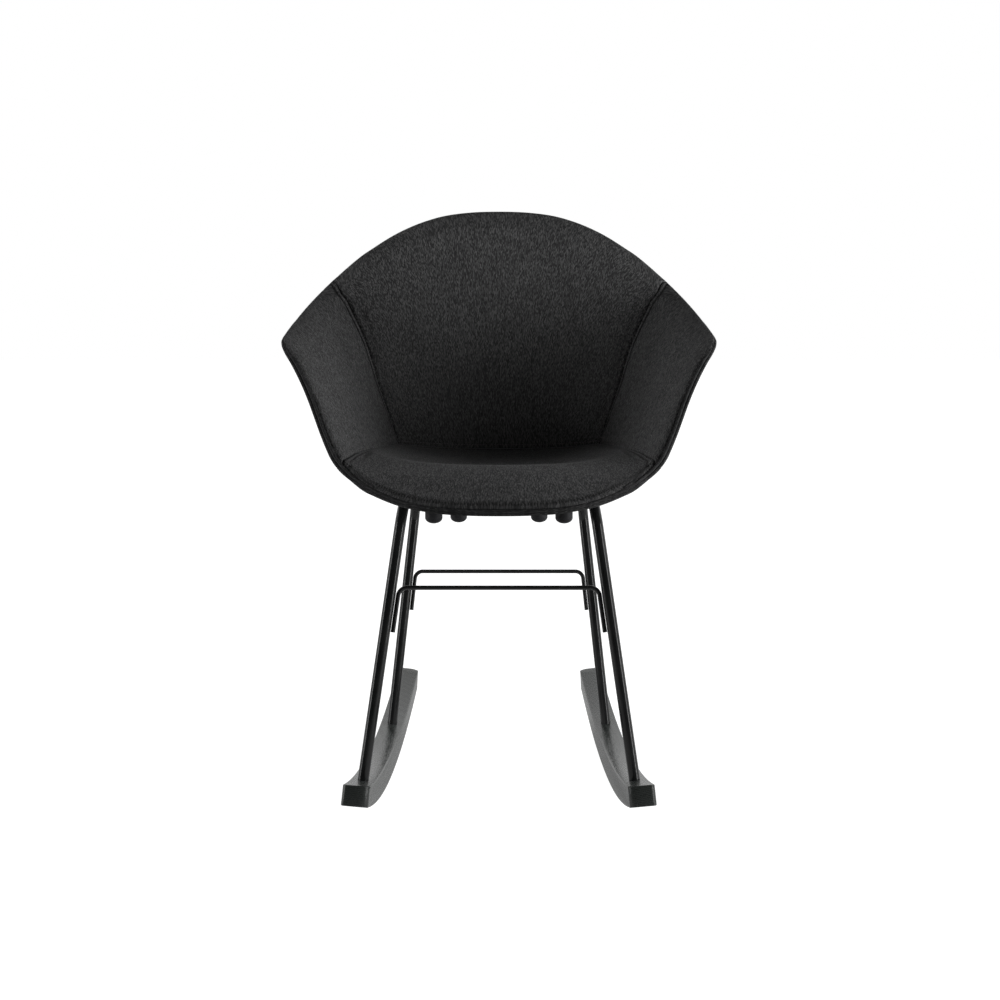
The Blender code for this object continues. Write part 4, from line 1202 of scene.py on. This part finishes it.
def makeRocker(hand, side):
    half, steps = base["length"] / 2, base["steps"]
    sole = [(-half + 2 * half * k / steps) for k in range(steps + 1)]
    rake = [(topHeight(end) - soleHeight(end)) * (end - base["soleLow"]) / base["soleRadius"]
            for end in (-half, half)]     # the ends stand square to the sole
    ends = (-half - rake[0], half - rake[1])
    top = [ends[0] + (ends[1] - ends[0]) * k / steps for k in range(steps + 1)]
    outline = [(at, soleHeight(at)) for at in sole] + [(at, topHeight(at)) for at in reversed(top)]
    shape = bmesh.new()
    face = shape.faces.new([shape.verts.new((-base["width"] / 2, at, z)) for at, z in outline])
    pushed = bmesh.ops.extrude_face_region(shape, geom=[face])
    bmesh.ops.translate(shape, vec=(base["width"], 0, 0), verts=[
        v for v in pushed["geom"] if isinstance(v, bmesh.types.BMVert)])
    bmesh.ops.recalc_face_normals(shape, faces=shape.faces[:])
    for inner, offset in ((True, base["innerRound"]), (False, base["outerRound"])):
        upright = [e for e in shape.edges if abs(e.verts[0].co.y) > half - base["endZone"]
                   and abs(e.verts[0].co.z - e.verts[1].co.z) > base["thickness"] / 2
                   and abs(abs(e.verts[0].co.x) - base["width"] / 2) < 1e-6
                   and e.calc_face_angle() > math.radians(60) and (e.verts[0].co.x * side < 0) == inner]
        bevelled(shape, upright, offset, 8)
    upper = [e for e in shape.edges if e.calc_face_angle() > math.radians(30) and all(
        abs(v.co.z - topHeight(v.co.y)) < base["near"] and -v.co.x * side > base["width"] / 2 - base["near"]
        for v in e.verts)]
    bevelled(shape, upper, base["innerEdge"], 4)
    sharp = [e for e in shape.edges if e.calc_face_angle() > math.radians(30)]
    bevelled(shape, sharp, base["edge"], 3)
    bmesh.ops.transform(shape, matrix=rockerPlace(side), verts=shape.verts[:])
    made = pieceFrom(shape, hand + "RockerWood", "wood", 28)
    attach(made, "root")
    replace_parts(made, hand + "_rocker")


makeRocker("left", -1)
makeRocker("right", 1)
print("rockers made")


# caps under the seat

cap = {
    "radius": 0.012, "dome": 0.0080, "sides": 48, "domeSteps": 16,
    "lip": 0.0003, "chamfer": 0.0006, "bar": 0.004,
    "places": {"front_left": (-0.0895, -0.1148, 0.021), "front_right": (0.0895, -0.1148, 0.021),
               "rear_left": (-0.058, -0.0098, 0.0235), "rear_right": (0.058, -0.0098, 0.0235)},
}


def makeCaps():
    _, frontY, frontZ = base["frontLeg"]
    _, rearY, rearZ = base["rearLeg"]
    slope = math.atan2(frontZ - rearZ, rearY - frontY)
    belowRail = base["tube"] + layers["gap"] + cap["bar"]
    lip, chamfer, steps = cap["lip"], cap["chamfer"], cap["domeSteps"]
    for name, (across, along, tall) in cap["places"].items():
        profile = [(0.0, -lip), (cap["radius"] - chamfer, -lip), (cap["radius"], -lip - chamfer)]
        for k in range(steps + 1):
            turn = math.pi / 2 * k / steps
            profile.append((cap["radius"] * math.cos(turn), cap["dome"] - tall - cap["dome"] * math.sin(turn)))
        shape = bmesh.new()
        spots = [shape.verts.new((r, 0, z)) for r, z in profile]
        line = [shape.edges.new(pair) for pair in zip(spots, spots[1:])]
        bmesh.ops.spin(shape, geom=spots + line, cent=(0, 0, 0), axis=(0, 0, 1), angle=math.tau,
                       steps=cap["sides"], use_merge=True, use_duplicate=False)
        bmesh.ops.remove_doubles(shape, verts=shape.verts[:], dist=1e-6)
        bmesh.ops.recalc_face_normals(shape, faces=shape.faces[:])
        height = frontZ - (along - frontY) * math.tan(slope)
        place = (Matrix.Translation((across, along, height)) @ Matrix.Rotation(-slope, 4, "X")
                 @ Matrix.Translation((0, 0, -belowRail)))
        bmesh.ops.transform(shape, matrix=place, verts=shape.verts[:])
        row, hand = name.split("_")
        made = pieceFrom(shape, row + hand.capitalize() + "MountCap", "cap", 40)
        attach(made, "root")
        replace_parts(made, name + "_mount_cap")
    print("mount caps made")


makeCaps()


# finishes of the solids that stay

stays = {"cross_bar": "paint", "mount_bolt": "steel", "leg_plug": "steel", "rocker_screw": "steel",
         "seat_shell": "shell"}
for name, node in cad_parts.items():
    for ending, key in stays.items():
        if name.endswith(ending):
            node.data.materials.clear()
            node.data.materials.append(finish[key])


# pale floor, soft light all round and strongest from the right, camera of the photograph

studio = {
    "floorColour": (0.25, 0.25, 0.25), "floorGlow": (0.90, 1.0), "floorInGloss": 0.30, "glowFade": (0.7, 1.9),
    "floorHalf": 9.0, "worldLight": 0.06,
    "lamps": {
        "rightBox": {"power": 54.0, "size": (1.0, 1.0), "place": (2.124, -0.569, 0.627), "inGloss": False},
        "rightFrontBox": {"power": 10.0, "size": (1.0, 1.0), "place": (1.684, -1.413, 0.627), "inGloss": False},
        "leftBox": {"power": 30.0, "size": (1.0, 1.0), "place": (-2.13, -0.30, 0.90), "inGloss": False},
        "rearRightBox": {"power": 56.0, "size": (1.0, 1.0), "place": (1.95, 0.95, 1.15), "inGloss": False},
        "rearLeftBox": {"power": 34.0, "size": (1.0, 1.0), "place": (-1.95, 0.95, 1.15), "inGloss": False},
        "rightStrip": {"power": 13.0, "size": (0.30, 1.2), "place": (1.82, -1.05, 0.62), "inGloss": True},
        "leftStrip": {"power": 10.0, "size": (0.30, 1.2), "place": (-2.02, -0.58, 0.62), "inGloss": True},
        "frontBox": {"power": 17.0, "size": (2.4, 1.0), "place": (0.0, -3.2, 0.62), "inGloss": False},
    },
    "flag": {"away": 4.3, "half": 2.8, "height": 4.2, "roofTo": 1.0, "wing": (4.6, 0.6)},
    "aim": (0.0, 0.0, 0.55),
}


def seenRays(tree, inGloss=1.0):
    # camera, mirror and glass rays see the white room; soft light does not come from it
    rays = put(tree, "ShaderNodeLightPath").outputs
    gloss = maths(tree, "MAXIMUM", rays["Is Glossy Ray"], rays["Is Transmission Ray"])
    return maths(tree, "MAXIMUM", rays["Is Camera Ray"], maths(tree, "MULTIPLY", gloss, inGloss))


def makeFloor():
    made, tree, shader = newMaterial("paleFloor")
    shader.inputs["Base Color"].default_value = (*studio["floorColour"], 1.0)
    shader.inputs["Roughness"].default_value = 0.8
    place = put(tree, "ShaderNodeTexCoord").outputs["Object"]
    away = put(tree, "ShaderNodeVectorMath", {0: place}, operation="LENGTH").outputs["Value"]
    near, far = studio["glowFade"]
    level = put(tree, "ShaderNodeMapRange", {
        "Value": away, "From Min": near, "From Max": far,
        "To Min": studio["floorGlow"][0], "To Max": studio["floorGlow"][1]}, interpolation_type="SMOOTHSTEP")
    seen = seenRays(tree, studio["floorInGloss"])
    glow = put(tree, "ShaderNodeEmission", {
        "Color": (1, 1, 1, 1), "Strength": maths(tree, "MULTIPLY", seen, level.outputs[0])})
    both = put(tree, "ShaderNodeAddShader", {0: shader.outputs[0], 1: glow.outputs[0]})
    below = put(tree, "ShaderNodeNewGeometry").outputs["Backfacing"]     # clear from underneath
    shown = put(tree, "ShaderNodeMixShader", {
        0: below, 1: both.outputs[0], 2: put(tree, "ShaderNodeBsdfTransparent").outputs[0]})
    tree.links.new(shown.outputs[0], tree.nodes["Material Output"].inputs["Surface"])
    half = studio["floorHalf"]
    corners = [(-half, -half, 0), (half, -half, 0), (half, half, 0), (-half, half, 0)]
    floor = meshFrom("floor", corners, [(0, 1, 2, 3)], smooth=False)
    floor.data.materials.append(made)


def makeWorld():
    world = bpy.data.worlds.new("paleRoom")
    scene.world = world
    world.use_nodes = True
    tree = world.node_tree
    tree.nodes.clear()
    strength = put(tree, "ShaderNodeMapRange", {
        "Value": seenRays(tree), "To Min": studio["worldLight"], "To Max": 1.0})
    room = put(tree, "ShaderNodeBackground", {"Color": (1, 1, 1, 1), "Strength": strength.outputs[0]})
    put(tree, "ShaderNodeOutputWorld", {"Surface": room.outputs[0]})


def makeFlag():
    # dark cloth in front and overhead, which the camera looks through
    made, tree, shader = newMaterial("darkFlag")
    shader.inputs["Base Color"].default_value = (0.004, 0.004, 0.004, 1.0)
    shader.inputs["Roughness"].default_value = 1.0
    shader.inputs["Specular IOR Level"].default_value = 0.0
    clear = put(tree, "ShaderNodeBsdfTransparent")
    seen = put(tree, "ShaderNodeLightPath").outputs["Is Camera Ray"]
    shown = put(tree, "ShaderNodeMixShader", {0: seen, 1: shader.outputs[0], 2: clear.outputs[0]})
    tree.links.new(shown.outputs[0], tree.nodes["Material Output"].inputs["Surface"])
    size = studio["flag"]
    half, away, high = size["half"], -size["away"], size["height"]
    wide, back = size["wing"]
    feet = [(-wide, -back), (-half, away), (half, away), (wide, -back)]
    flag = meshFrom("darkFlag", [(x, y, 0.02) for x, y in feet] + [(x, y, high) for x, y in feet] + [
        (half, size["roofTo"], high), (-half, size["roofTo"], high)],
        [(0, 1, 5, 4), (1, 2, 6, 5), (2, 3, 7, 6), (5, 6, 8, 9)], smooth=False)
    flag.data.materials.append(made)


def makeLight(name, box):
    lamp = bpy.data.lights.new(name, "AREA")
    lamp.shape = "RECTANGLE"
    lamp.size, lamp.size_y = box["size"]
    lamp.energy = box["power"]
    made = bpy.data.objects.new(name, lamp)
    made.location = box["place"]
    made.visible_glossy = box["inGloss"]
    made.rotation_euler = (Vector(studio["aim"]) - made.location).to_track_quat("-Z", "Y").to_euler()
    scene.collection.objects.link(made)


photo = {"place": (0.0015, -2.2869, 0.7643), "pitch": math.radians(8.859), "lens": 57.6, "sensor": 36.0}


def makeCamera():
    lens = bpy.data.cameras.new("camera")
    lens.lens = photo["lens"]
    lens.sensor_width = photo["sensor"]
    made = bpy.data.objects.new("camera", lens)
    made.location = photo["place"]
    made.rotation_euler = (math.pi / 2 - photo["pitch"], 0.0, 0.0)
    scene.collection.objects.link(made)
    scene.camera = made


makeFloor()
makeWorld()
for lampName, lampBox in studio["lamps"].items():
    makeLight(lampName, lampBox)
makeFlag()
makeCamera()
scene.view_settings.view_transform = "Standard"
print("stage, light and camera set")
